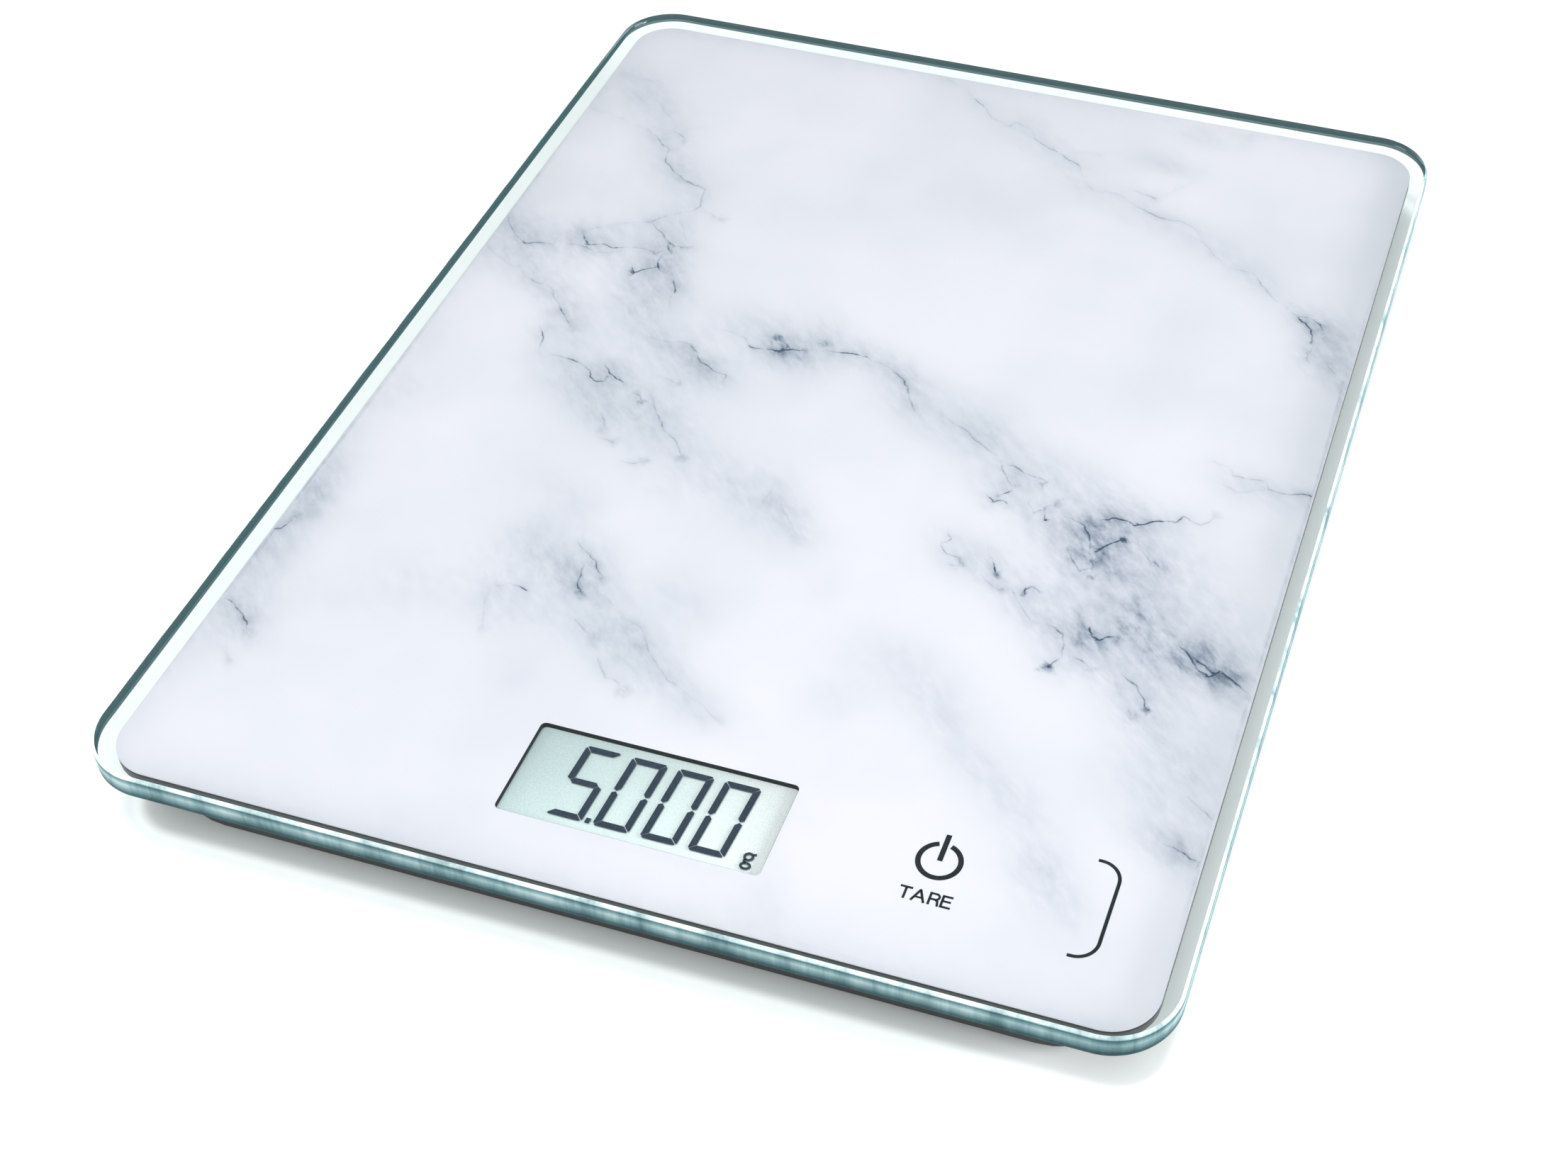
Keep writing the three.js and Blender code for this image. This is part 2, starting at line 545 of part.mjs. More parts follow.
// Bayonet lid over the coin cell: a disc with a coin slot, a neck ring and two lugs.
function addBatteryLid() {
  const top = LID_TOP - TABLE_GAP;
  const neck = ring(LID_NECK_RADIUS, LID_NECK_RADIUS - LID_NECK_WALL, top - LID_THICKNESS / 2,
    LID_THICKNESS / 2);
  const lugs = [0, 1].map((side) =>
    lugSector(side * Math.PI, 0, LID_LUG_HEIGHT).translate(0, 0, top - LID_LUG_HEIGHT));
  const slot = box([LID_SLOT_SIZE[0], LID_SLOT_SIZE[1], 2 * LID_SLOT_SIZE[2]], 0, 0,
    -LID_SLOT_SIZE[2]);
  const lid = carve([disc(LID_RADIUS, LID_THICKNESS, 0), neck, ...lugs], [slot]);
  addPart('battery_lid', lid, DARK_ABS, 0, BATTERY_Y, TABLE_GAP);
}

// Coin cell: a can with a rounded lower edge and the smaller negative cap on top.
function addCoinCell() {
  const cap = COIN_RADIUS - COIN_CAP_INSET;
  const shoulder = COIN_THICKNESS - COIN_CAP_HEIGHT;
  const cell = turned([
    [0, 0], [COIN_RADIUS - COIN_EDGE, 0], [COIN_RADIUS, COIN_EDGE], [COIN_RADIUS, shoulder],
    [cap, shoulder], [cap, COIN_THICKNESS], [0, COIN_THICKNESS],
  ]);
  addPart('coin_cell', closed(cell), NICKEL, 0, BATTERY_Y, COIN_BOTTOM);
}

// Spring contacts: the negative one lies under the cup's ceiling, the positive one at the rim.
function addBatteryContacts() {
  const outside = CUP_OUTER_RADIUS + CONTACT_TAB;
  const rest = CONTACT_STRIP / 2 + SMALL_GAP / 2;
  const high = CONTACT_GAP - rest;
  const sprung = bentStrip([[-outside, high], [-CUP_INNER_RADIUS, high],
    [NEGATIVE_CONTACT_BEND_Y, rest + NEGATIVE_CONTACT_LIFT], [0, rest],
    [NEGATIVE_CONTACT_TIP_Y, high]], CONTACT_STRIP);
  const negative = new THREE.ExtrudeGeometry(new THREE.Shape(sprung), {
    depth: NEGATIVE_CONTACT_WIDTH,
    bevelEnabled: false,
  });
  negative.rotateX(Math.PI / 2).rotateZ(Math.PI / 2).translate(-NEGATIVE_CONTACT_WIDTH / 2, 0, 0);
  addPart('battery_contact_negative', closed(negative), NICKEL, NEGATIVE_CONTACT_X, BATTERY_Y,
    COIN_TOP);
  const touching = COIN_RADIUS + CONTACT_STRIP;
  const [nearBend, farBend, tip] = POSITIVE_LEAF_BENDS;
  const leaf = bentStrip([[POSITIVE_CONTACT_X, -outside],
    [POSITIVE_CONTACT_X + farBend[0], -touching - farBend[1]],
    [POSITIVE_CONTACT_X + nearBend[0], -touching - nearBend[1]], [0, -touching],
    [POSITIVE_CONTACT_X + tip[0], -touching - tip[1]]], CONTACT_STRIP);
  addPart('battery_contact_positive', closed(slab(leaf, POSITIVE_CONTACT_HEIGHT)), NICKEL, 0,
    BATTERY_Y, COIN_BOTTOM + FIT_GAP);
}

// Foot: a disc through the base cover, a retaining flange and a stem under the load cell.
function addFoot(corner) {
  const bottom = PAD_THICKNESS - PAD_RECESS;
  const flangeBottom = FLOOR_TOP + FIT_GAP;
  const flangeTop = flangeBottom + FOOT_FLANGE_HEIGHT;
  const recess = PAD_RADIUS + SMALL_GAP;
  const profile = [
    [0, PAD_THICKNESS], [recess, PAD_THICKNESS], [recess, bottom], [FOOT_RADIUS - FOOT_EDGE, bottom],
    [FOOT_RADIUS, bottom + FOOT_EDGE], [FOOT_RADIUS, flangeBottom], [FOOT_FLANGE_RADIUS, flangeBottom],
    [FOOT_FLANGE_RADIUS, flangeTop], [FOOT_STEM_RADIUS, flangeTop], [FOOT_STEM_RADIUS, FOOT_TOP],
    [0, FOOT_TOP],
  ];
  const x = corner.x * FOOT_X;
  const y = corner.y * FOOT_Y;
  addPart(`foot_${corner.name}`, closed(turned(profile)), DARK_ABS, x, y);
  const pad = turned([
    [0, 0], [PAD_RADIUS - FOOT_EDGE, 0], [PAD_RADIUS, FOOT_EDGE], [PAD_RADIUS, PAD_THICKNESS],
    [0, PAD_THICKNESS],
  ]);
  addPart(`foot_pad_${corner.name}`, closed(pad), RUBBER, x, y);
}

// Stamped half-bridge load cell: a square plate with a U-shaped slot that frees its tongue.
function addLoadCell(corner) {
  const half = CELL_TONGUE_WIDTH / 2;
  const root = -CELL_TONGUE_LENGTH / 2;
  const tip = CELL_TONGUE_LENGTH / 2;
  const slot = [
    [half, root], [half + CELL_SLOT, root], [half + CELL_SLOT, tip + CELL_SLOT],
    [-half - CELL_SLOT, tip + CELL_SLOT], [-half - CELL_SLOT, root], [-half, root],
    [-half, tip], [half, tip],
  ].map(([x, y]) => new THREE.Vector2(x, corner.y * y));
  const cell = slab(rect(CELL_SIZE, CELL_SIZE), CELL_THICKNESS, 0, [slot]);
  const x = corner.x * FOOT_X;
  const y = corner.y * FOOT_Y;
  addPart(`load_cell_${corner.name}`, closed(cell), STEEL, x, y, CELL_BOTTOM);
}

// Plastic carrier that seats the cell's outer frame against the tray.
function addCellCarrier(corner) {
  const outline = roundedRect(CARRIER_SIZE, CARRIER_SIZE, CARRIER_CORNER_RADIUS);
  const pocket = CELL_SIZE + 2 * FIT_GAP;
  const opening = CELL_SIZE - 2 * CARRIER_LEDGE;
  const carrier = carve([slab(outline, CARRIER_HEIGHT + CELL_THICKNESS)], [
    box([opening, opening, 3 * CARRIER_HEIGHT], 0, 0, -CARRIER_HEIGHT),
    box([pocket, pocket, 2 * CELL_THICKNESS], 0, 0, -CELL_THICKNESS),
  ]);
  addPart(`cell_carrier_${corner.name}`, carrier, WHITE_PLASTIC, corner.x * FOOT_X,
    corner.y * FOOT_Y, CELL_BOTTOM);
}

// Display: two bonded glass sheets, a reflector, a frame and two elastomer connector strips.
function addDisplay() {
  const place = [0, WINDOW_Y];
  addPart('lcd_front_glass', closed(slab(rect(LCD_WIDTH, LCD_DEPTH), LCD_SHEET)), LCD_GLASS,
    ...place, LCD_JOIN);
  addPart('lcd_rear_glass', closed(slab(rect(LCD_WIDTH, LCD_REAR_DEPTH), LCD_SHEET)), LCD_GLASS,
    ...place, LCD_REAR_BOTTOM);
  const reflector = rect(LCD_WIDTH - 2 * REFLECTOR_MARGIN, LCD_REAR_DEPTH - 2 * REFLECTOR_MARGIN);
  addPart('lcd_reflector', closed(slab(reflector, REFLECTOR_THICKNESS)), LCD_BACKING, ...place,
    LCD_REAR_BOTTOM - REFLECTOR_THICKNESS);
  const frame = slab(rect(...LCD_FRAME_OUTER), PLATE_UNDERSIDE - BOARD_TOP, 0,
    [rect(...LCD_FRAME_INNER)]);
  addPart('lcd_frame', closed(frame), WHITE_PLASTIC, ...place, BOARD_TOP);
  for (const [name, side] of [['front', -1], ['back', 1]]) {
    addPart(`zebra_strip_${name}`,
      closed(slab(rect(ZEBRA_LENGTH, ZEBRA_THICKNESS), LCD_JOIN - BOARD_TOP)),
      CONDUCTIVE_RUBBER, 0, WINDOW_Y + side * ZEBRA_Y, BOARD_TOP);
  }
}

// Circuit board with its screw holes, and the parts soldered to its underside.
function addBoard() {
  const outline = roundedRect(BOARD_WIDTH, BOARD_DEPTH, BOARD_CORNER_RADIUS);
  const holes = BOARD_SCREWS.map(([x, y]) =>
    circle(BOARD_SCREW.shankRadius + SCREW_GAP, x - BOARD_X, y - BOARD_Y, SMALL_ROUND_STEPS));
  addPart('main_board', closed(slab(outline, BOARD_THICKNESS, 0, holes)), BOARD_GREEN, BOARD_X,
    BOARD_Y, BOARD_BOTTOM);
  const chip = turned([
    [0, -CHIP_HEIGHT],
    ...CHIP_DOME.map(([across, down]) => [CHIP_RADIUS * across, -CHIP_HEIGHT * down]),
    [CHIP_RADIUS, 0], [0, 0],
  ]);
  addPart('chip_blob', closed(chip), EPOXY, CHIP_X, BOARD_Y, BOARD_BOTTOM);
  const beside = CHIP_X + CHIP_RADIUS + SMALL_PARTS_FROM_CHIP;
  addPart('crystal', closed(box(CRYSTAL_SIZE, 0, 0, 0)), NICKEL, beside,
    BOARD_Y + CRYSTAL_BEHIND_CHIP, BOARD_BOTTOM - CRYSTAL_SIZE[2]);
  CAPACITOR_OFFSETS.forEach((offset, i) => {
    addPart(`capacitor_${i + 1}`, closed(box(CAPACITOR_SIZE, 0, 0, 0)), CERAMIC, beside,
      BOARD_Y + offset, BOARD_BOTTOM - CAPACITOR_SIZE[2]);
  });
}

// Coil that carries the touch key's electrode signal from the board up to the glass.
function addTouchSpring() {
  const rise = TRAY_TOP - BOARD_TOP - 2 * (TOUCH_WIRE_RADIUS + SMALL_GAP);
  const count = COIL_STEPS * TOUCH_TURNS;
  const points = Array.from({ length: count + 1 }, (_, step) => {
    const angle = (2 * Math.PI * step) / COIL_STEPS;
    return [TOUCH_COIL_RADIUS * Math.cos(angle), TOUCH_COIL_RADIUS * Math.sin(angle),
      (rise * step) / count];
  });
  addPart('touch_spring', bentRod(points, TOUCH_WIRE_RADIUS, LEAD_SIDES, count), STEEL, TOUCH_X,
    TOUCH_Y, BOARD_TOP + TOUCH_WIRE_RADIUS + SMALL_GAP);
}

// Push button in the base, held by its flange, and the low switch above it.
function addUnitButton() {
  const bottom = TABLE_GAP - BUTTON_PROUD;
  const flangeBottom = BUTTON_TOP - BUTTON_FLANGE_HEIGHT;
  const button = turned([
    [0, bottom], [BUTTON_RADIUS - BUTTON_EDGE, bottom], [BUTTON_RADIUS, bottom + BUTTON_EDGE],
    [BUTTON_RADIUS, flangeBottom], [BUTTON_FLANGE_RADIUS, flangeBottom],
    [BUTTON_FLANGE_RADIUS, BUTTON_TOP], [0, BUTTON_TOP],
  ]);
  addPart('unit_button', closed(button), WHITE_PLASTIC, BUTTON_X, BUTTON_Y);
  const bodyBottom = BOARD_BOTTOM - SWITCH_BODY_HEIGHT;
  const body = roundedRect(SWITCH_SIZE, SWITCH_SIZE, SWITCH_CORNER_RADIUS);
  const plungerHeight = bodyBottom + SWITCH_BODY_HEIGHT / 2 - SWITCH_BOTTOM;
  const unitSwitch = carve([
    slab(body, SWITCH_BODY_HEIGHT, bodyBottom - SWITCH_BOTTOM),
    disc(SWITCH_PLUNGER_RADIUS, plungerHeight, 0, 0, 0, SMALL_ROUND_STEPS),
  ]);
  addPart('unit_switch', unitSwitch, STEEL, BUTTON_X, BUTTON_Y, SWITCH_BOTTOM);
}

// Self-tapping screw, point up, heights measured from the flat of its head.
function screwGeometry(screw) {
  const tip = screw.shankRadius * SCREW_POINT;
  const dome = screw.headHeight * SCREW_HEAD_DOME;
  return closed(turned([
    [0, 0], [screw.headRadius * SCREW_HEAD_FLAT, 0], [screw.headRadius, dome],
    [screw.headRadius, screw.headHeight], [screw.shankRadius, screw.headHeight],
    [screw.shankRadius, screw.length - tip],
    [screw.shankRadius * SCREW_TIP_RADIUS, screw.length],
    [0, screw.length],
  ], SMALL_ROUND_STEPS));
}

function addScrews() {
  COVER_SCREWS.forEach(([x, y], i) => {
    addPart(`cover_screw_${i + 1}`, screwGeometry(COVER_SCREW), STEEL, x, y,
      TABLE_GAP + SCREW_GAP);
  });
  BOARD_SCREWS.forEach(([x, y], i) => {
    addPart(`board_screw_${i + 1}`, screwGeometry(BOARD_SCREW), STEEL, x, y,
      BOARD_BOTTOM - BOARD_SCREW.headHeight - SCREW_GAP);
  });
}

// Sleeved leads from each load cell to the board's back edge, in the space over the base cover.
function addSensorLeads() {
  const low = FLOOR_TOP + LEAD_RADIUS + RUNNING_GAP;
  const high = CELL_BOTTOM - LEAD_RADIUS - SMALL_GAP;
  const cellX = FOOT_X - CELL_LEAD_INSET;
  const cellY = FOOT_Y - CELL_SIZE / 2 - LEAD_RADIUS;
  const end = BOARD_BACK - LEAD_ON_BOARD;
  for (const corner of CORNERS) {
    const kind = corner.y < 0 ? FRONT_LEAD : BACK_LEAD;
    const pad = corner.x * SENSOR_PAD_X;
    const start = [[corner.x * cellX, corner.y * cellY, high],
      [corner.x * (cellX - CELL_LEAD_DRIFT), corner.y * (cellY - kind.drop), low]];
    const rest = corner.y < 0
      ? [[pad + corner.x * kind.swing, BOARD_BACK + kind.behindBoard, low],
        [pad + corner.x * kind.hook, end, low]]
      : [...kind.bends.map(([x, y]) => [corner.x * x, y, low]),
        [pad, BOARD_BACK + kind.behindBoard, low], [pad, end, low]];
    addPart(`sensor_lead_${corner.name}`,
      bentRod([...start, ...rest], LEAD_RADIUS, LEAD_SIDES, kind.steps), LEAD_SLEEVE);
  }
}

function addBatteryLeads() {
  const low = FLOOR_TOP + LEAD_RADIUS + RUNNING_GAP;
  const start = BATTERY_Y - CUP_OUTER_RADIUS - CONTACT_TAB;
  const end = BOARD_BACK - LEAD_ON_BOARD;
  const landing = BOARD_BACK + BATTERY_LEAD.behindBoard;
  const raised = low + BATTERY_LEAD.rise;
  const underTab = COIN_TOP - LEAD_RADIUS;
  const negative = [[NEGATIVE_CONTACT_X, start + LEAD_RADIUS, underTab],
    [NEGATIVE_CONTACT_X, start - BATTERY_LEAD.near, raised],
    [NEGATIVE_CONTACT_X, start - BATTERY_LEAD.settled, low],
    [NEGATIVE_CONTACT_X, landing, low], [NEGATIVE_CONTACT_X, end, low]];
  addPart('battery_lead_negative',
    bentRod(negative, LEAD_RADIUS, LEAD_SIDES, BATTERY_LEAD.steps[0]), BLACK_LEAD);
  const beside = POSITIVE_CONTACT_X + CONTACT_STRIP / 2 + LEAD_RADIUS + SMALL_GAP;
  const positive = [[beside, start + LEAD_RADIUS, raised],
    [beside, start - BATTERY_LEAD.beside, low], [beside, landing, low], [beside, end, low]];
  addPart('battery_lead_positive',
    bentRod(positive, LEAD_RADIUS, LEAD_SIDES, BATTERY_LEAD.steps[1]), RED_LEAD);
}

addGlass();
addDecor();
addTray();
addBaseCover();
addDisplay();
addBoard();
addTouchSpring();
addUnitButton();
addBatteryLid();
addCoinCell();
addBatteryContacts();
for (const corner of CORNERS) {
  addCellCarrier(corner);
  addLoadCell(corner);
  addFoot(corner);
}
addSensorLeads();
addBatteryLeads();
addScrews();

export default scale;
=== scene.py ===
import math

import bmesh
import bpy
import numpy as np
from mathutils import Matrix, Vector, geometry, noise


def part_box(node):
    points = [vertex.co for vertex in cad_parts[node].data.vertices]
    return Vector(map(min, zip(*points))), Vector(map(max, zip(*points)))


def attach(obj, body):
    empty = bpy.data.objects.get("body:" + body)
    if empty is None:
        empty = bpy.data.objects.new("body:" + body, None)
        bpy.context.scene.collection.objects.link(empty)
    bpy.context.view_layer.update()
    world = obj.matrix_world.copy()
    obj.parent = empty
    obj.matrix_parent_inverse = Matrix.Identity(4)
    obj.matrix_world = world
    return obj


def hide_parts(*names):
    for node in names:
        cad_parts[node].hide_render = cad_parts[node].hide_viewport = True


# A flat kitchen scale: a glass platform over a marble print, a black tub with the works, and a
# screwed-on cover with four sprung feet. Lengths are in metres, or in mm where multiplied by MM.

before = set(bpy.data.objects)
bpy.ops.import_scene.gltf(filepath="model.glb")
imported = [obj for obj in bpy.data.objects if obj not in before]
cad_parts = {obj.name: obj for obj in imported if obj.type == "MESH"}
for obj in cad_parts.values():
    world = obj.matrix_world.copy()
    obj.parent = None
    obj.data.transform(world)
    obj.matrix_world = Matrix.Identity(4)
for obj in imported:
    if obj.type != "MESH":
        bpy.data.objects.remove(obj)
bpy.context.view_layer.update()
MM = 0.001


# ---------------------------------------------------------------------------------------------
# Glass platform. One pane of 4 mm tempered soda-lime float glass, cut with rounded corners. Its
# rim is ground flat and satin, with a narrow polished arris at top and bottom; the rim's colours
# are painted reflection and highlight.
# ---------------------------------------------------------------------------------------------
GLASS_CORNER = 9.5 * MM
CORNER_CUTS = 40
# The rim's section from bottom to top: how far in from the outline, and how far up the pane.
RIM_SECTION = (
    (0.45, 0.00), (0.10, 0.35), (0.03, 0.50), (0.00, 0.70),
    (0.00, 3.30), (0.03, 3.50), (0.10, 3.65), (0.45, 4.00),
)
# A hair of air stays between the pane and the ink.
AIR_GAP = 0.02 * MM
# How upright a surface's normal is, at the least, on the pane's two faces and on its arrises.
FACE_UPRIGHT, ARRIS_UPRIGHT = 0.99, 0.45


def linear(code):
    """An sRGB hex colour as linear RGBA."""
    values = [int(code[i : i + 2], 16) / 255 for i in (1, 3, 5)]
    return [v / 12.92 if v <= 0.04045 else ((v + 0.055) / 1.055) ** 2.4 for v in values] + [1.0]


def add(material, kind, settings=None, inputs=None, stops=()):
    """Adds one shader node: its properties, its inputs set or linked, and its colour stops."""
    node = material.node_tree.nodes.new("ShaderNode" + kind)
    for name, value in (settings or {}).items():
        setattr(node, name, value)
    for name, value in (inputs or {}).items():
        if isinstance(value, bpy.types.NodeSocket):
            material.node_tree.links.new(value, node.inputs[name])
        else:
            node.inputs[name].default_value = value
    while stops and len(node.color_ramp.elements) < len(stops):
        node.color_ramp.elements.new(0.5)
    for number, (place, code) in enumerate(stops):
        element = node.color_ramp.elements[number]
        element.position = place
        element.color = linear(code)
    return node


def new_material(name, settings):
    """A material with one Principled shader, whose sockets are set by name."""
    material = bpy.data.materials.new(name)
    material.use_nodes = True
    shader = material.node_tree.nodes["Principled BSDF"]
    for socket, value in settings.items():
        shader.inputs[socket].default_value = value
    return material, shader


def join(material, node, links):
    """Links node outputs to a node's sockets by name."""
    for socket, output in links.items():
        material.node_tree.links.new(output, node.inputs[socket])


def rounded_outline(half_x, half_y, radius, cuts=CORNER_CUTS, centre=(0, 0)):
    """A rectangle with round corners as a closed run of (x, y), anticlockwise."""
    points = []
    for turn, (sx, sy) in enumerate(((1, 1), (-1, 1), (-1, -1), (1, -1))):
        for cut in range(cuts + 1):
            angle = math.pi / 2 * (turn + cut / cuts)
            x = sx * (half_x - radius) + radius * math.cos(angle)
            y = sy * (half_y - radius) + radius * math.sin(angle)
            points.append((x + centre[0], y + centre[1]))
    return points


def finished(mesh, name, body, materials, sharp=35):
    """Makes a piece of a mesh: smooth faces, true edges kept sharp, riding on its body."""
    form = bmesh.new()
    form.from_mesh(mesh)
    bmesh.ops.recalc_face_normals(form, faces=form.faces)
    for face in form.faces:
        face.smooth = True
    for edge in form.edges:
        edge.smooth = edge.is_manifold and edge.calc_face_angle(0) < math.radians(sharp)
    form.to_mesh(mesh)
    form.free()
    piece = bpy.data.objects.new(name, mesh)
    bpy.context.scene.collection.objects.link(piece)
    for material in materials:
        mesh.materials.append(material)
    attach(piece, body)
    return piece


def lofted(name, rings):
    """A closed mesh through rings of equal length, with a flat cap on the first and last."""
    count = len(rings[0])
    vertices = [point for ring in rings for point in ring]
    faces = [list(range(count))[::-1], list(range(count * (len(rings) - 1), count * len(rings)))]
    for level in range(len(rings) - 1):
        for i in range(count):
            j = (i + 1) % count
            low, high = level * count, (level + 1) * count
            faces.append([low + i, low + j, high + j, high + i])
    mesh = bpy.data.meshes.new(name)
    mesh.from_pydata(vertices, [], faces)
    return mesh


glass_low, glass_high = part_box("glass_platform")
rings = []
for inset, height in RIM_SECTION:
    outline = rounded_outline(
        glass_high.x - inset * MM, glass_high.y - inset * MM, GLASS_CORNER - inset * MM
    )
    level = glass_low.z + height * MM + (AIR_GAP if height == 0 else 0)
    rings.append([(x, y, level) for x, y in outline])

# Soda-lime glass, IOR 1.52: the faces are fire-polished and clear, and iron in the melt shows as
# green where light runs along the pane. The ground rim keeps a faint waviness from its polishing.
glass, shader = new_material(
    "soda_lime_float_glass",
    {"IOR": 1.52, "Roughness": 0.0, "Transmission Weight": 1.0, "Base Color": linear("#F9FDFD")},
)
place = add(glass, "TexCoord").outputs["Object"]
facing = add(glass, "SeparateXYZ", inputs={0: add(glass, "NewGeometry").outputs["True Normal"]})
upright = add(glass, "Math", {"operation": "ABSOLUTE"}, {0: facing.outputs["Z"]})
flat_face = add(glass, "Math", {"operation": "GREATER_THAN"}, {0: upright.outputs[0], 1: FACE_UPRIGHT})
rim = add(glass, "Math", {"operation": "SUBTRACT"}, {0: 1.0, 1: flat_face.outputs[0]})
# Polishing waves about 5 mm long run round the rim.
waves = add(glass, "TexNoise", inputs={"Vector": place, "Scale": 1 / (5 * MM), "Detail": 2.0})
bump = add(
    glass, "Bump",
    inputs={"Height": waves.outputs[0], "Distance": 0.02 * MM, "Strength": rim.outputs[0]},
)
join(glass, shader, {"Normal": bump.outputs[0]})
# The ground edge is satin, its colour painted reflection: pale in its middle, deeper green-blue to
# each side, a painted white highlight on its upper arris, and soft upright painted glints about
# 7 mm apart. From inside it is a darker painted reflection.
level = add(
    glass, "MapRange",
    inputs={
        "Value": add(glass, "SeparateXYZ", inputs={0: place}).outputs["Z"],
        "From Min": glass_low.z, "From Max": glass_high.z,
    },
)
# Painted reflection up the rim by height; the white top stops are a painted highlight on the arris.
painted_edge_reflection = add(
    glass, "ValToRGB", inputs={"Fac": level.outputs[0]},
    stops=(
        (0.0, "#24424C"), (0.24, "#44686F"), (0.50, "#A4C2C5"), (0.62, "#CDE0E1"), (0.80, "#84A9AE"),
        (0.87, "#5C868D"), (0.90, "#F8FCFC"), (1.0, "#FFFFFF"),
    ),
)
upright_noise = add(
    glass, "Mapping", {"vector_type": "POINT"}, {"Vector": place, "Scale": (1.0, 1.0, 0.12)}
)
streaks = add(
    glass, "TexNoise",
    inputs={
        "Vector": upright_noise.outputs[0], "Scale": 1 / (7 * MM), "Detail": 5.0, "Roughness": 0.7,
    },
)
# Painted glints: pale and white upright streaks of reflection along the rim.
painted_edge_glints = add(
    glass, "ValToRGB", inputs={"Fac": streaks.outputs[0]},
    stops=((0.34, "#8CA6AB"), (0.50, "#D2E0E2"), (0.62, "#FFFFFF")),
)
painted_edge_outside = add(
    glass, "Mix", {"data_type": "RGBA", "blend_type": "MULTIPLY"},
    {"Factor": 1.0, 6: painted_edge_reflection.outputs[0], 7: painted_edge_glints.outputs[0]},
)
# Painted dark reflection where the rim is seen from inside the pane.
painted_edge_tone = add(
    glass, "Mix", {"data_type": "RGBA"},
    {
        "Factor": add(glass, "NewGeometry").outputs["Backfacing"],
        6: painted_edge_outside.outputs[2], 7: linear("#4A6468"),
    },
)
# The diffuse share shows the painted rim colours, with more of it on the arrises.
painted_edge_diffuse = add(glass, "BsdfDiffuse", inputs={"Color": painted_edge_tone.outputs[2], "Roughness": 0.4})
arris = add(glass, "Math", {"operation": "GREATER_THAN"}, {0: upright.outputs[0], 1: ARRIS_UPRIGHT})
painted_edge_weight = add(
    glass, "Math", {"operation": "MULTIPLY_ADD"}, {0: arris.outputs[0], 1: 0.16, 2: 0.76}
)
painted_edge_share = add(
    glass, "Math", {"operation": "MULTIPLY"}, {0: rim.outputs[0], 1: painted_edge_weight.outputs[0]}
)
edged = add(
    glass, "MixShader",
    inputs={0: painted_edge_share.outputs[0], 1: shader.outputs[0], 2: painted_edge_diffuse.outputs[0]},
)
# Lamps shine straight through the faces and are dimmed by the rim, which throws their light aside.
clear = add(
    glass, "Mix", {"data_type": "RGBA"},
    {"Factor": flat_face.outputs[0], 6: linear("#8FA3A3"), 7: linear("#F8FCFC")},
)
through = add(glass, "BsdfTransparent", inputs={"Color": clear.outputs[2]})
path = add(glass, "LightPath")
lamp_ray = add(
    glass, "Math", {"operation": "MAXIMUM"},
    {0: path.outputs["Is Shadow Ray"], 1: path.outputs["Is Diffuse Ray"]},
)
passing = add(
    glass, "MixShader",
    inputs={0: lamp_ray.outputs[0], 1: edged.outputs[0], 2: through.outputs[0]},
)
absorbing = add(glass, "VolumeAbsorption", inputs={"Color": linear("#AFE8E0"), "Density": 7.0})
join(
    glass, glass.node_tree.nodes["Material Output"],
    {"Surface": passing.outputs[0], "Volume": absorbing.outputs[0]},
)

platform = finished(lofted("glass_pane", rings), "glass_pane", "root", [glass])
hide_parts("glass_platform")
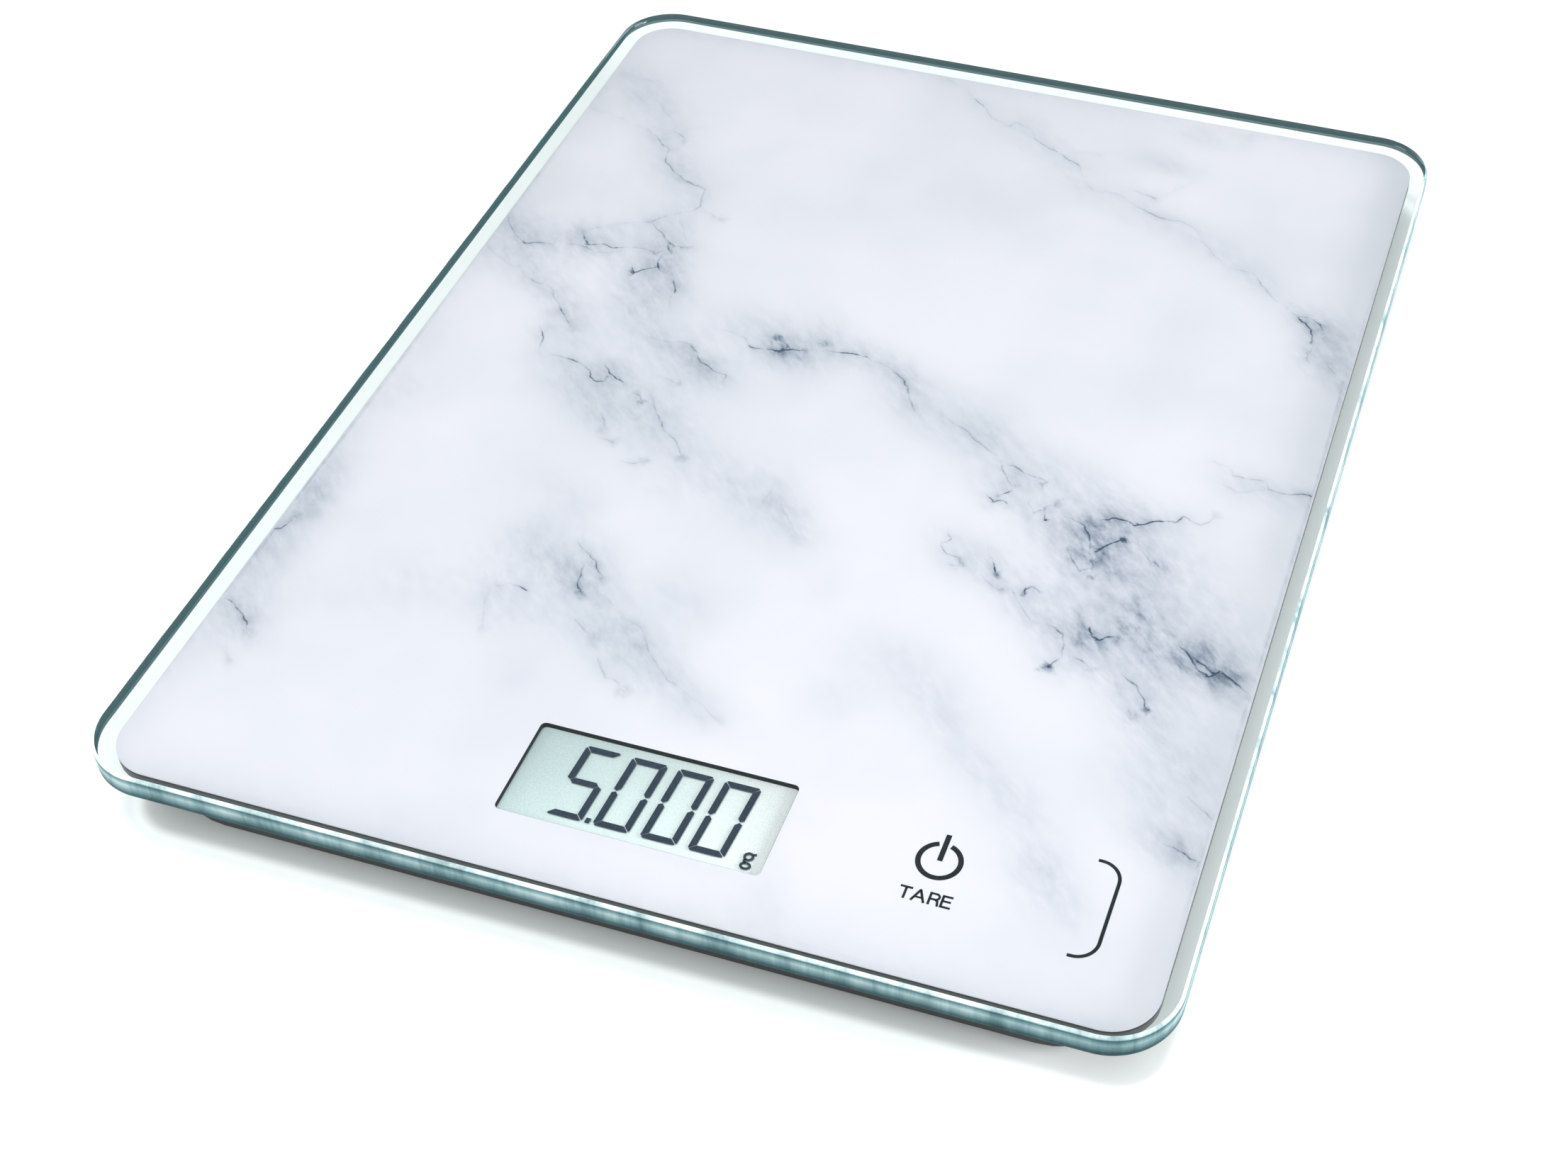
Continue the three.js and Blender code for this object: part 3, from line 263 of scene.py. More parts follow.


# ---------------------------------------------------------------------------------------------
# Marble print. A thin layer of ceramic ink right under the glass: a white ground with the picture
# of a veined marble, cut out for the display. The veins are set along their courses.
# ---------------------------------------------------------------------------------------------
# Each vein: how far its grey spreads (mm), then its course as (x mm, y mm, darkness 0 to 9).
VEINS = (
    (2.6, ((-14, 96.2, 3), (-12.5, 95, 3), (-9.5, 93.5, 3), (-7.5, 91.2, 5), (-6, 90.2, 7),
        (-3.5, 88, 4), (-2, 86, 4), (0, 84.9, 4), (1.6, 84.6, 4), (2.5, 86, 5), (4, 85.2, 5),
        (6, 84, 4), (7, 82, 4), (9, 80.8, 5), (11, 79.7, 5), (13, 79, 4), (14, 78, 7),
        (16, 76.8, 8), (17, 76, 8), (17.4, 75, 3), (18, 73.5, 2), (19.5, 71, 4), (21.5, 69.8, 3),
        (23.5, 70.3, 3), (26, 70, 4), (28.5, 68.5, 4), (31, 67, 5), (34, 66, 5), (37, 65.8, 4),
        (39, 65.3, 4), (40.5, 64, 3), (42, 61.5, 3), (43.5, 60.2, 4), (45.5, 58, 4), (47, 56.3, 3),
        (50, 56, 3), (52, 55.5, 4), (53.5, 54, 5), (54.5, 52.5, 6), (56, 51, 4), (57.5, 49.5, 4),
        (59.5, 48, 5), (61.5, 46.7, 9), (62.7, 45.5, 8), (64, 44, 7), (64.5, 42.5, 8),
        (64.8, 41, 6))),
    (2.0, ((61.5, 46.8, 6), (63.5, 46.9, 5), (65, 46, 6), (65.6, 44.8, 6), (67.5, 44.3, 3),
        (70, 43.6, 2))),
    (1.5, ((64.8, 41, 3), (65.2, 39, 5), (64.5, 38, 5), (65.1, 36.2, 5), (66.5, 35, 1))),
    (1.5, ((67.2, 37.2, 3), (68.2, 36.4, 5), (69.2, 35, 5), (70.5, 33.5, 3), (71.6, 32.6, 4))),
    (1.2, ((27, 72.4, 2), (29, 71.9, 4), (31.6, 71, 6), (32.4, 70.4, 3))),
    (1.4, ((32, 71, 1), (33, 73, 2), (35, 75.2, 2), (37.2, 79, 1), (38.4, 83, 1))),
    (1.0, ((11, 80, 2), (15, 80.3, 2), (19, 80.8, 2))),
    (2.4, ((-72.2, 66.9, 4), (-70, 66.5, 3), (-67, 66.2, 2), (-65, 65.2, 4), (-63, 64.3, 3),
        (-60.5, 64, 2), (-58.5, 63, 6), (-56.5, 61.5, 7), (-54.5, 60, 7), (-53, 59.3, 5),
        (-53, 57, 5), (-52.5, 55.5, 6), (-51.5, 54.5, 7), (-50.3, 53.5, 6), (-49, 52.3, 5),
        (-47, 51.3, 6), (-45.8, 51, 9), (-44.6, 50.6, 6), (-42.7, 49.5, 4), (-42.3, 47.5, 6),
        (-41.8, 45.3, 6), (-42.5, 43.5, 3), (-44.5, 42, 3), (-46.5, 40.5, 4), (-48, 38.3, 5),
        (-46.5, 37, 5), (-45, 35.7, 6), (-43.5, 34.3, 6), (-41.8, 33.4, 6), (-40.3, 33.2, 5))),
    (2.6, ((-69, 79, 2), (-66, 78, 3), (-64, 78.2, 3), (-63.2, 79, 2))),
    (2.6, ((-60, 72.5, 3), (-58.5, 70, 3), (-56.5, 68.3, 2), (-55.5, 65.5, 2))),
    (1.4, ((-55.6, 64.6, 3), (-54, 64.4, 7), (-53, 64.2, 8), (-52, 63.3, 5), (-51.5, 62, 4))),
    (1.0, ((-51.8, 66.5, 2), (-50.6, 67.1, 2), (-49.8, 67.2, 2))),
    (1.0, ((-39.2, 43.8, 3), (-38.4, 43, 6), (-37.3, 42.5, 4))),
    (1.6, ((-48, 38.3, 3), (-51, 37.2, 3), (-54, 35.6, 3), (-57, 33.6, 4), (-58, 32.2, 3))),
    (1.6, ((-44, 40.4, 2), (-42.5, 38.5, 3), (-41, 36.3, 3), (-40.2, 35, 1))),
    (2.6, ((-57.6, 31.6, 5), (-56.5, 30.3, 6), (-55.5, 29.4, 8), (-53, 29.9, 9), (-51.4, 29.7, 7),
        (-49.5, 30.6, 4), (-46, 31.2, 4), (-44, 30.6, 5), (-42, 32, 6), (-41.6, 30.9, 5))),
    (1.6, ((-43.6, 34.3, 4), (-42.6, 32.6, 6), (-41.5, 30.9, 6), (-41.9, 30.4, 4))),
    (2.6, ((-43, 30.2, 7), (-42.6, 28.7, 9), (-42.2, 27.3, 9), (-41.6, 26.4, 7), (-40.2, 25.6, 2))),
    (2.0, ((-46.3, 25.4, 8), (-45.6, 24.9, 9), (-44.6, 25.6, 8), (-43.4, 26.2, 6), (-42.4, 27, 6))),
    (2.4, ((-40.6, 27.5, 2), (-38.6, 25, 3), (-37.8, 23.3, 7), (-37.2, 22.2, 7), (-37.2, 21, 3),
        (-36.4, 18, 2))),
    (3.4, ((-72.2, 33, 4), (-71.2, 31, 6), (-70.3, 30.2, 6), (-69, 28.7, 4), (-67.5, 27, 4),
        (-66, 26.2, 7), (-64.7, 26.8, 7), (-62, 27.5, 3), (-60, 28.4, 3), (-57, 28.7, 4),
        (-54, 27.9, 4), (-51, 28.2, 3))),
    (2.8, ((-72.2, 23.8, 3), (-70, 22.5, 3), (-67.5, 21, 3), (-64.5, 20, 3), (-62, 18.3, 3),
        (-60, 17.1, 4), (-57.5, 16.9, 4), (-56.2, 15.9, 7), (-54.5, 14, 4), (-53, 12, 7),
        (-51.5, 10.5, 4), (-50.3, 9, 4), (-49.4, 8, 3))),
    (1.8, ((-53, 5.4, 8), (-52.5, 4.6, 9), (-52.4, 3, 7), (-52, 1.4, 3), (-50.5, -0.8, 2))),
    (1.8, ((-49.6, 0.9, 3), (-48, 0.9, 6), (-46.5, 0.9, 8), (-45.4, 0.4, 7), (-43.7, 0, 5),
        (-42.6, -0.8, 7), (-41.6, -2.2, 8), (-40.1, -3.2, 7), (-39.1, -2.5, 5), (-38.8, -1.4, 6))),
    (1.6, ((-40.4, 0.8, 7), (-39.4, 0, 9), (-38.6, -0.9, 9), (-37, -1.7, 8), (-35.6, -2.2, 3))),
    (3.0, ((-37, 9.6, 2), (-33, 9.3, 4), (-31, 10.2, 4), (-29.5, 10.3, 5), (-28.5, 9, 4),
        (-27, 7.2, 5), (-25.5, 6, 5), (-24, 5.3, 6), (-22.5, 4.9, 5), (-21.5, 4.3, 6),
        (-21, 2.8, 3))),
    (1.2, ((-30.5, 1, 2), (-29, 0.7, 4), (-27.4, 0.2, 4))),
    (0.9, ((-32.1, -4.4, 5), (-31.3, -5.3, 7))),
    (1.2, ((-32.3, -7.9, 3), (-30.6, -8.8, 3))),
    (1.2, ((-36.4, -10, 3), (-35.2, -11.4, 5), (-34.6, -12.8, 3))),
    (2.6, ((-30, -4.4, 3), (-28.4, -7.2, 5), (-26, -10, 6), (-23.5, -12.1, 6), (-21.6, -14, 6),
        (-20.8, -15, 4))),
    (1.0, ((-33.4, -15.2, 4), (-32.3, -15.6, 4))),
    (1.0, ((-27.8, -19.2, 3), (-27, -18.9, 5), (-26.2, -18, 4))),
    (3.0, ((-25.6, 15, 3), (-22.4, 14.4, 3), (-20.5, 13, 4), (-19.9, 12.4, 9), (-19, 12.3, 6),
        (-18, 12.5, 4), (-16, 12.9, 8), (-14.6, 13.5, 9), (-13.1, 13.9, 8), (-11.4, 14, 3))),
    (1.0, ((-15.4, 11.8, 3), (-15.2, 13, 7), (-14.9, 14.6, 6), (-14.2, 14, 4))),
    (1.0, ((-18, 15.6, 4), (-17.2, 15.5, 6))),
    (1.2, ((-10, 17.2, 4), (-9.2, 16.8, 5))),
    (3.2, ((-7, 14.9, 4), (-5.6, 15.5, 8), (-3.6, 15.5, 9), (-2, 15.5, 7), (-0.4, 14.9, 4),
        (1.4, 14.5, 4), (3.2, 13.7, 4), (5, 12.3, 5), (6.5, 10.5, 5), (7.7, 8.6, 5), (8.7, 6.8, 5),
        (10, 5, 2))),
    (2.0, ((16, 4.7, 4), (18, 3.9, 4), (20, 2.5, 5), (22, 1.1, 5), (23.6, 0.2, 4), (25, -1.2, 3),
        (26, -2.5, 7), (27, -4.2, 5), (28, -5.4, 7), (28.8, -6.2, 4))),
    (1.6, ((27.4, -2, 5), (29, -2.8, 6), (30.2, -3.3, 4), (32, -3.1, 5), (33.6, -3.7, 6),
        (32.7, -4.4, 6))),
    (1.6, ((29, -7.6, 5), (28.2, -8.2, 8), (27.4, -9.2, 5))),
    (1.6, ((26.3, -9.9, 7), (26.8, -10.6, 6), (28, -9.9, 7), (29, -10.1, 7), (29.8, -10.9, 3))),
    (1.6, ((32, -8.9, 5), (33, -10, 4), (33.4, -11, 7), (34.6, -10, 5), (35.4, -12, 8),
        (36.2, -11.6, 3))),
    (1.2, ((34.8, -9, 3), (36, -8.4, 5))),
    (2.4, ((43.6, -9.2, 6), (45.4, -8.3, 9), (47, -8.2, 9), (48.4, -8.9, 9), (50, -7.8, 9),
        (51.2, -7.2, 9), (52.6, -6.8, 8), (54, -6.6, 8), (54.9, -5, 7), (56, -5.5, 6),
        (57.3, -5.9, 5), (58.5, -5, 5), (59.3, -3.5, 4))),
    (2.6, ((43.8, -15.2, 8), (44.6, -15.8, 9), (46, -13.6, 9), (47.3, -12.4, 8))),
    (2.6, ((39, -10.6, 5), (41.4, -11.6, 6), (42.4, -13.6, 6), (43.6, -16.4, 7), (44.4, -18, 5))),
    (1.4, ((49.4, -12.4, 4), (51.2, -14.2, 5), (52.2, -15.6, 5), (54.2, -16.9, 4))),
    (1.4, ((40, -16.6, 4), (41.6, -19, 4), (43, -20.9, 4), (44.5, -19.6, 6), (44.8, -21.2, 6))),
    (2.0, ((56.6, 8.2, 3), (58.6, 7.7, 3), (59.6, 6.3, 5), (60.4, 6.4, 6), (62, 6.2, 6),
        (64, 6.5, 6), (64.9, 6, 5), (65.3, 4.8, 6), (67, 4.5, 5), (69, 4.7, 7), (71, 5.4, 7),
        (72.2, 5, 6))),
    (1.4, ((59.8, 3.2, 3), (61, 2.5, 5), (63, 3.6, 3), (65, 4.5, 2))),
    (2.0, ((22.6, -18.8, 4), (23.6, -20.2, 6), (22.3, -21.6, 5), (23.6, -23, 6), (25.8, -23.4, 5))),
    (1.4, ((25, -25.2, 5), (26.2, -24.9, 5))),
    (1.6, ((29.4, -21, 4), (30.6, -22.8, 6), (31.2, -24, 9), (31.8, -24.8, 7))),
    (1.2, ((30, -26, 3), (31.5, -27.2, 4), (33, -27.8, 4))),
    (1.4, ((38.4, -26.3, 5), (37.4, -25.9, 5), (36.6, -27, 9), (36.8, -27.5, 6))),
    (1.4, ((35.4, -27.8, 4), (36.6, -29.6, 4), (38, -31.6, 5), (39.4, -33, 4))),
    (2.4, ((47.4, -31.4, 7), (48.2, -32.9, 9), (49.2, -33.2, 9), (50.6, -32.2, 7),
        (51.6, -31.8, 4))),
    (2.0, ((43, -33, 6), (44.2, -34.2, 7), (44.8, -35.6, 5), (45, -38, 4), (44, -40.2, 8))),
    (1.4, ((47.8, -37.8, 7), (49.8, -38.9, 4))),
    (1.4, ((55, -39.6, 6), (56.4, -40, 4), (57.8, -42.2, 7), (58.8, -44, 7))),
    (1.0, ((56.6, -45, 5), (57.2, -45.6, 6))),
    (2.8, ((61.2, -31.4, 7), (62.4, -32.9, 9), (64, -34.6, 9), (65.6, -35.4, 9), (67, -33.8, 9),
        (68.6, -34.8, 9), (70.2, -36.4, 8), (71.4, -37, 4))),
    (2.0, ((63.2, -33, 9), (64.4, -33.2, 9), (66.2, -34.6, 8))),
    (2.4, ((66.4, -65.8, 5), (68.4, -66.4, 7), (70, -67, 6), (72.2, -68.1, 7))),
    (1.6, ((67.8, -57.4, 4), (70.4, -59.4, 5), (72, -60.4, 3))),
    (2.6, ((-72.2, -62.9, 4), (-70, -64, 6), (-67.5, -65.5, 6), (-66, -67, 6), (-65.3, -68.3, 4))),
    (1.4, ((-66.2, -72.6, 3), (-64.8, -73.8, 3))),
    (1.8, ((-71.6, -48.6, 8), (-70.8, -48.2, 6), (-70.6, -46.2, 5))),
    (2.2, ((-27.6, -37.8, 4), (-25.5, -39.6, 6), (-24.2, -40.6, 7), (-23, -42, 6),
        (-21.7, -43, 4))),
    (2.0, ((-25.4, -42, 5), (-25, -45, 6), (-23.8, -46.8, 5))),
    (2.0, ((-36, -49.4, 3), (-34, -48.3, 3), (-32.6, -48.4, 7), (-31.4, -49, 7), (-30, -49.2, 2))),
    (2.4, ((-36.4, -50, 2), (-35.6, -54, 3), (-34, -57.6, 3))),
    (2.0, ((-20, -46.6, 2), (-17.5, -48.6, 3), (-15, -50, 3), (-13, -50.6, 4), (-11.4, -52.6, 4),
        (-10, -54.4, 5), (-8, -56.5, 4), (-5, -59, 4), (-2, -60.2, 3), (1, -62, 3),
        (3.6, -63.6, 3))),
    (1.6, ((-22.2, -52.4, 4), (-20.5, -53.4, 5), (-18.8, -54.5, 3))),
    (1.6, ((-15.6, -58.8, 4), (-13.6, -61, 4), (-11, -62.1, 5))),
    (2.4, ((-3, -21, 3), (-1, -23, 4), (0.7, -25, 4), (1.6, -26.2, 3))),
    (1.6, ((-5.2, -18, 3), (-5.4, -20.6, 3))),
)
# Each smoky patch: its middle (mm), half-lengths along and across (mm), slope (degrees), density.
PATCHES = (
    (-66, 76, 9, 5, -40, 0.22), (-58, 68, 8, 4, -50, 0.16), (-50, 54, 9, 4.5, -40, 0.22),
    (-44, 40, 7, 4, -60, 0.20), (-54, 32, 9, 5, 10, 0.24), (-43, 27, 7, 5, -60, 0.34),
    (-42, 18, 9, 5, -65, 0.30), (-38, 22, 7, 3.5, -60, 0.24), (-66, 29, 8, 5, -20, 0.26),
    (-60, 19, 11, 5, -30, 0.20), (-51, 10, 6, 4, -50, 0.18), (-47, 4, 9, 6, -30, 0.16),
    (-39.5, -0.6, 3.6, 3.2, 0, 0.42), (-42, -5, 9, 5, -40, 0.28), (-37, -8, 7, 4, -40, 0.26),
    (-31, 7.5, 9, 4, -30, 0.26), (-24, 4.5, 5, 3.5, -30, 0.24), (-30, -4, 9, 8, -50, 0.16),
    (-25, -12, 10, 5, -48, 0.22), (-18, 17, 9, 5, -5, 0.30), (-15, 12.5, 6, 3.5, 10, 0.30),
    (-10, 15, 4, 8, 0, 0.22), (-3, 15, 7, 3.5, -5, 0.22), (6, 10, 8, 3.5, -55, 0.24),
    (14, 6, 9, 6, -25, 0.18), (22, 3, 6, 5, -40, 0.22), (29, -5, 7, 6, -40, 0.26),
    (33, -10, 7, 4, -40, 0.24), (38, -2, 13, 5, -30, 0.22), (43, -12, 6, 6.5, -50, 0.52),
    (47, -9.4, 5, 2.2, 5, 0.40), (47, -20, 11, 9, -50, 0.38), (56, -22, 12, 9, -50, 0.32),
    (53, -26.4, 3.4, 3.4, -45, 0.38), (27, -22.5, 8, 4.5, -35, 0.26), (37, -29, 7, 4, -50, 0.22),
    (45, -33, 7, 6, -50, 0.34), (53, -33, 8, 6, -30, 0.34), (48.6, -32.8, 3.2, 2.4, 10, 0.44),
    (64, -32, 8, 5, -35, 0.44), (66, -34.4, 5, 2.8, -20, 0.50), (58, -42, 8, 5, -50, 0.30),
    (66, -50, 9, 7, -60, 0.26), (63, -58, 8, 6, -50, 0.14), (68, -66.5, 6, 3, -20, 0.28),
    (33, -53, 7, 4, -50, 0.18), (25, -46, 11, 5, -15, 0.14), (18, -55, 5, 4, 0, 0.14),
    (39, -60, 8, 4, -40, 0.16), (47, -66, 7, 4.5, -40, 0.18), (52.5, -75, 5, 4, -45, 0.26),
    (57, -80.5, 6, 4, -45, 0.14), (20, -90, 3.5, 8, 20, 0.12), (67.5, 38, 5, 7, 20, 0.30),
    (66, 45, 6, 3.5, -20, 0.22), (50, 57, 12, 4, -30, 0.14), (30, 66, 14, 4, -20, 0.14),
    (10, 80, 12, 4, -35, 0.14), (31, 81.4, 6, 2.6, -10, 0.20), (35, 91.4, 4.5, 3, -20, 0.18),
    (42.5, 95, 2, 5, 0, 0.12), (62, 4, 8, 4, -10, 0.16), (-70, -42, 4, 11, 0, 0.36),
    (-69, -54, 4, 8, 0, 0.18), (-67, -66, 6, 5, -45, 0.22), (-48, -54, 11, 6, 20, 0.16),
    (-33, -40, 7, 6, -40, 0.24), (-26, -43, 6, 5, -30, 0.36), (-31, -52, 8, 6, -10, 0.22),
    (-33, -33, 4, 8, -30, 0.16), (-17, -52, 10, 5, -40, 0.24), (-8, -57, 9, 4, -35, 0.30),
    (-10, -44, 7, 5, -20, 0.18), (1, -62, 5, 3, -30, 0.18), (-6, -21, 10, 6, -35, 0.22),
    (-1, -24, 6, 3.5, -50, 0.20), (-15, -17, 8, 5, -30, 0.12), (-66, -14, 6, 5, 0, 0.10),
    (-21, -24, 5, 4, 0, 0.10), (-37, -27, 5, 3, -30, 0.10), (9, -35, 3, 6, 0, 0.08),
    (-27, -64, 4, 4, -30, 0.12), (-6, 55, 18, 9, 30, 0.05), (-33, 80, 10, 7, 0, 0.06),
    (-58, 45, 9, 7, 30, 0.06), (38, 20, 16, 6, -10, 0.04),
)
# The print's corners and its window (mm).
PRINT_CORNER = 6.7
WINDOW_HALF_X, WINDOW_HALF_Y, WINDOW_CORNER = 18.6, 7.9, 0.8
WINDOW_CENTRE = (0.0, -79.1)
# A vein's course is walked in steps this long, and its dark line fades out this far to each side.
STEP = 0.6
RIBBON = 0.20
# The turns of a course, as turns per mm and reach in mm, and how its darkness comes and goes.
SWAYS = ((0.45, 0.42), (1.5, 0.20))
PULSES_PER_MM, PULSE = 0.6, 0.5
SEED_STEP, PULSE_SEED = 3.7, 9
DARKEST, FADE = 9, 1.8
# The grey beside a line, as strength, reach in mm (a wide one has its own in VEINS) and fall-off.
CLOSE_GREY, CLOSE_REACH, CLOSE_FALL = 0.22, 0.6, 1.5
WIDE_GREY, WIDE_FALL = 0.22, 1.3
# Painted shade: the ground greys towards every edge of the print, as strength and reach in mm.
EDGE_SHADE, EDGE_SHADE_REACH = 0.13, 3.2
# Mesh points lie this far to the side of each course, over a lattice of this pitch, each with this
# much room round it (mm).
BESIDE = (RIBBON, 0.55, 1.2, 2.2)
LATTICE, LATTICE_ROOM = 1.9, 0.9
ROOM, ROOM_PER_GAP = 0.10, 0.35
CLEAR_OF_EDGE = 0.25


def course(points, seed):
    """A vein's course in short steps, with the small turns that stone has, as x, y, darkness."""
    line = []
    for (x0, y0, d0), (x1, y1, d1) in zip(points, points[1:]):
        count = max(1, round(math.dist((x0, y0), (x1, y1)) / STEP))
        for i in range(count):
            t = i / count
            line.append((x0 + (x1 - x0) * t, y0 + (y1 - y0) * t, d0 + (d1 - d0) * t))
    line.append(points[-1])
    walked = []
    for x, y, darkness in line:
        sway = Vector((0.0, 0.0, 0.0))
        for turns, reach in SWAYS:
            sway += noise.noise_vector(Vector((x * turns, y * turns, seed))) * reach
        beat = noise.noise(Vector((x * PULSES_PER_MM, y * PULSES_PER_MM, seed + PULSE_SEED)))
        depth = (darkness / DARKEST) ** FADE * (1 + PULSE * beat)
        walked.append((x + sway.x, y + sway.y, depth))
    return walked


def filled(outline, holes, points=(), lines=()):
    """Triangles over an outline with holes, through loose points and along lines (Delaunay)."""
    vertices, edges = [], []
    for loop in (outline, *holes):
        first = len(vertices)
        vertices += [Vector(p) for p in loop]
        edges += [(first + i, first + (i + 1) % len(loop)) for i in range(len(loop))]
    for line in lines:
        first = len(vertices)
        vertices += [Vector(p) for p in line]
        edges += [(first + i, first + i + 1) for i in range(len(line) - 1)]
    vertices += [Vector(p) for p in points]
    made = geometry.delaunay_2d_cdt(vertices, edges, [], 0, 1e-7)
    places = [(v.x, v.y) for v in made[0]]
    kept = []
    for face in made[2]:
        x = sum(places[i][0] for i in face) / 3
        y = sum(places[i][1] for i in face) / 3
        if encloses(outline, x, y) and not any(encloses(hole, x, y) for hole in holes):
            kept.append(list(face))
    return places, kept


def encloses(loop, x, y):
    """Whether a closed loop goes round a point."""
    inside = False
    for (x0, y0), (x1, y1) in zip(loop, loop[1:] + loop[:1]):
        if (y0 > y) != (y1 > y) and x < x0 + (x1 - x0) * (y - y0) / (y1 - y0):
            inside = not inside
    return inside


print_low, print_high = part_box("decor_print")
print_half_x, print_half_y = print_high.x / MM, print_high.y / MM
print_outline = rounded_outline(print_half_x, print_half_y, PRINT_CORNER, cuts=16)
window_outline = rounded_outline(
    WINDOW_HALF_X, WINDOW_HALF_Y, WINDOW_CORNER, cuts=6, centre=WINDOW_CENTRE
)

courses = [(spread, course(points, i * SEED_STEP)) for i, (spread, points) in enumerate(VEINS)]
crowd = {}


def has_room(x, y, gap):
    """Whether no point taken before lies nearer than the gap; if so, the point is taken."""
    cell = (round(x), round(y))
    for i in (-1, 0, 1):
        for j in (-1, 0, 1):
            for px, py in crowd.get((cell[0] + i, cell[1] + j), ()):
                if (px - x) ** 2 + (py - y) ** 2 < gap * gap:
                    return False
    crowd.setdefault(cell, []).append((x, y))
    return True


def on_print(x, y, margin):
    """Whether a point lies on the printed sheet, clear of its edges."""
    half_x, half_y = print_half_x - margin, print_half_y - margin
    beyond_x = abs(x) - WINDOW_HALF_X > margin
    beyond_y = abs(y - WINDOW_CENTRE[1]) - WINDOW_HALF_Y > margin
    into_x, into_y = max(0, abs(x) - half_x + PRINT_CORNER), max(0, abs(y) - half_y + PRINT_CORNER)
    inside = abs(x) < half_x and abs(y) < half_y and math.hypot(into_x, into_y) < PRINT_CORNER
    return inside and (beyond_x or beyond_y)


lines = []
for _, line in courses:
    run = []
    for x, y, _ in line:
        if on_print(x, y, CLEAR_OF_EDGE) and has_room(x, y, CLEAR_OF_EDGE):
            run.append((x, y))
        else:
            lines.append(run)
            run = []
    lines.append(run)
lines = [run for run in lines if len(run) > 1]
beside = []
for gap in BESIDE:
    for _, line in courses:
        for (x0, y0, _), (x1, y1, _) in zip(line, line[1:]):
            length = math.dist((x0, y0), (x1, y1)) or 1
            across = ((y0 - y1) / length * gap, (x1 - x0) / length * gap)
            for side in (1, -1):
                x, y = x0 + across[0] * side, y0 + across[1] * side
                if on_print(x, y, CLEAR_OF_EDGE) and has_room(x, y, ROOM + gap * ROOM_PER_GAP):
                    beside.append((x, y))
columns, rows = math.ceil(print_half_x / LATTICE), math.ceil(print_half_y / LATTICE)
for i in range(-columns, columns + 1):
    for j in range(-rows, rows + 1):
        x, y = (i + j % 2 / 2) * LATTICE, j * LATTICE
        if on_print(x, y, 2 * CLEAR_OF_EDGE) and has_room(x, y, LATTICE_ROOM):
            beside.append((x, y))
places, faces = filled(print_outline, [window_outline], beside, lines)

spots = np.array(places)
vein_depth = np.zeros(len(spots))
clear_of_smoke_and_shade = np.ones(len(spots))
for spread, line in courses:
    walk = np.array(line)
    apart = np.hypot(spots[:, None, 0] - walk[None, :, 0], spots[:, None, 1] - walk[None, :, 1])
    nearest = apart.argmin(1)
    distance, darkness = apart.min(1), walk[nearest, 2]
    vein_depth = np.maximum(vein_depth, darkness * np.clip(1 - distance / RIBBON, 0, 1))
    close = CLOSE_GREY * darkness * np.exp(-((distance / CLOSE_REACH) ** CLOSE_FALL))
    wide = WIDE_GREY * np.sqrt(darkness) * np.exp(-((distance / spread) ** WIDE_FALL))
    clear_of_smoke_and_shade *= (1 - close) * (1 - wide)
for x, y, along, across, slope, density in PATCHES:
    c, s = math.cos(math.radians(slope)), math.sin(math.radians(slope))
    u = (spots[:, 0] - x) * c + (spots[:, 1] - y) * s
    v = (spots[:, 1] - y) * c - (spots[:, 0] - x) * s
    clear_of_smoke_and_shade *= 1 - density * np.exp(-((u / along) ** 2) - (v / across) ** 2)
edge_x, edge_y = print_half_x - np.abs(spots[:, 0]), print_half_y - np.abs(spots[:, 1])
# Painted shade greying the ground towards each edge of the print.
clear_of_smoke_and_shade *= 1 - EDGE_SHADE * np.exp(-np.minimum(edge_x, edge_y) / EDGE_SHADE_REACH)

sheet_points = [(x * MM, y * MM, print_high.z) for x, y in places]
sheet_faces = [list(face) for face in faces]
below = {}
counts = {}
for face in faces:
    for i in range(3):
        pair = (face[i], face[(i + 1) % 3])
        counts[pair] = counts.get(pair, 0) + 1
rim_pairs = [pair for pair in counts if (pair[1], pair[0]) not in counts]
for i in sorted({i for pair in rim_pairs for i in pair}):
    below[i] = len(sheet_points)
    sheet_points.append((places[i][0] * MM, places[i][1] * MM, print_low.z))
for a, b in rim_pairs:
    sheet_faces.append([b, a, below[a], below[b]])
mesh = bpy.data.meshes.new("marble_print")
mesh.from_pydata(sheet_points, [], sheet_faces)
extra = len(sheet_points) - len(places)
for name, values in (("vein", vein_depth), ("smoke_and_edge_shade", 1 - clear_of_smoke_and_shade)):
    layer = mesh.attributes.new(name, "FLOAT", "POINT")
    layer.data.foreach_set("value", np.concatenate([values, np.zeros(extra)]).astype(np.float32))

# Ceramic ink under glass: matt and even, white with grey smoke, slate veins and dark grit, and
# painted shade towards its edges.
marble, shader = new_material("ceramic_ink_marble", {"Roughness": 0.6, "Specular IOR Level": 0.1})
place = add(marble, "TexCoord").outputs["Object"]
vein = add(marble, "Attribute", {"attribute_name": "vein"}).outputs["Fac"]
smoke_and_edge_shade = add(marble, "Attribute", {"attribute_name": "smoke_and_edge_shade"}).outputs["Fac"]
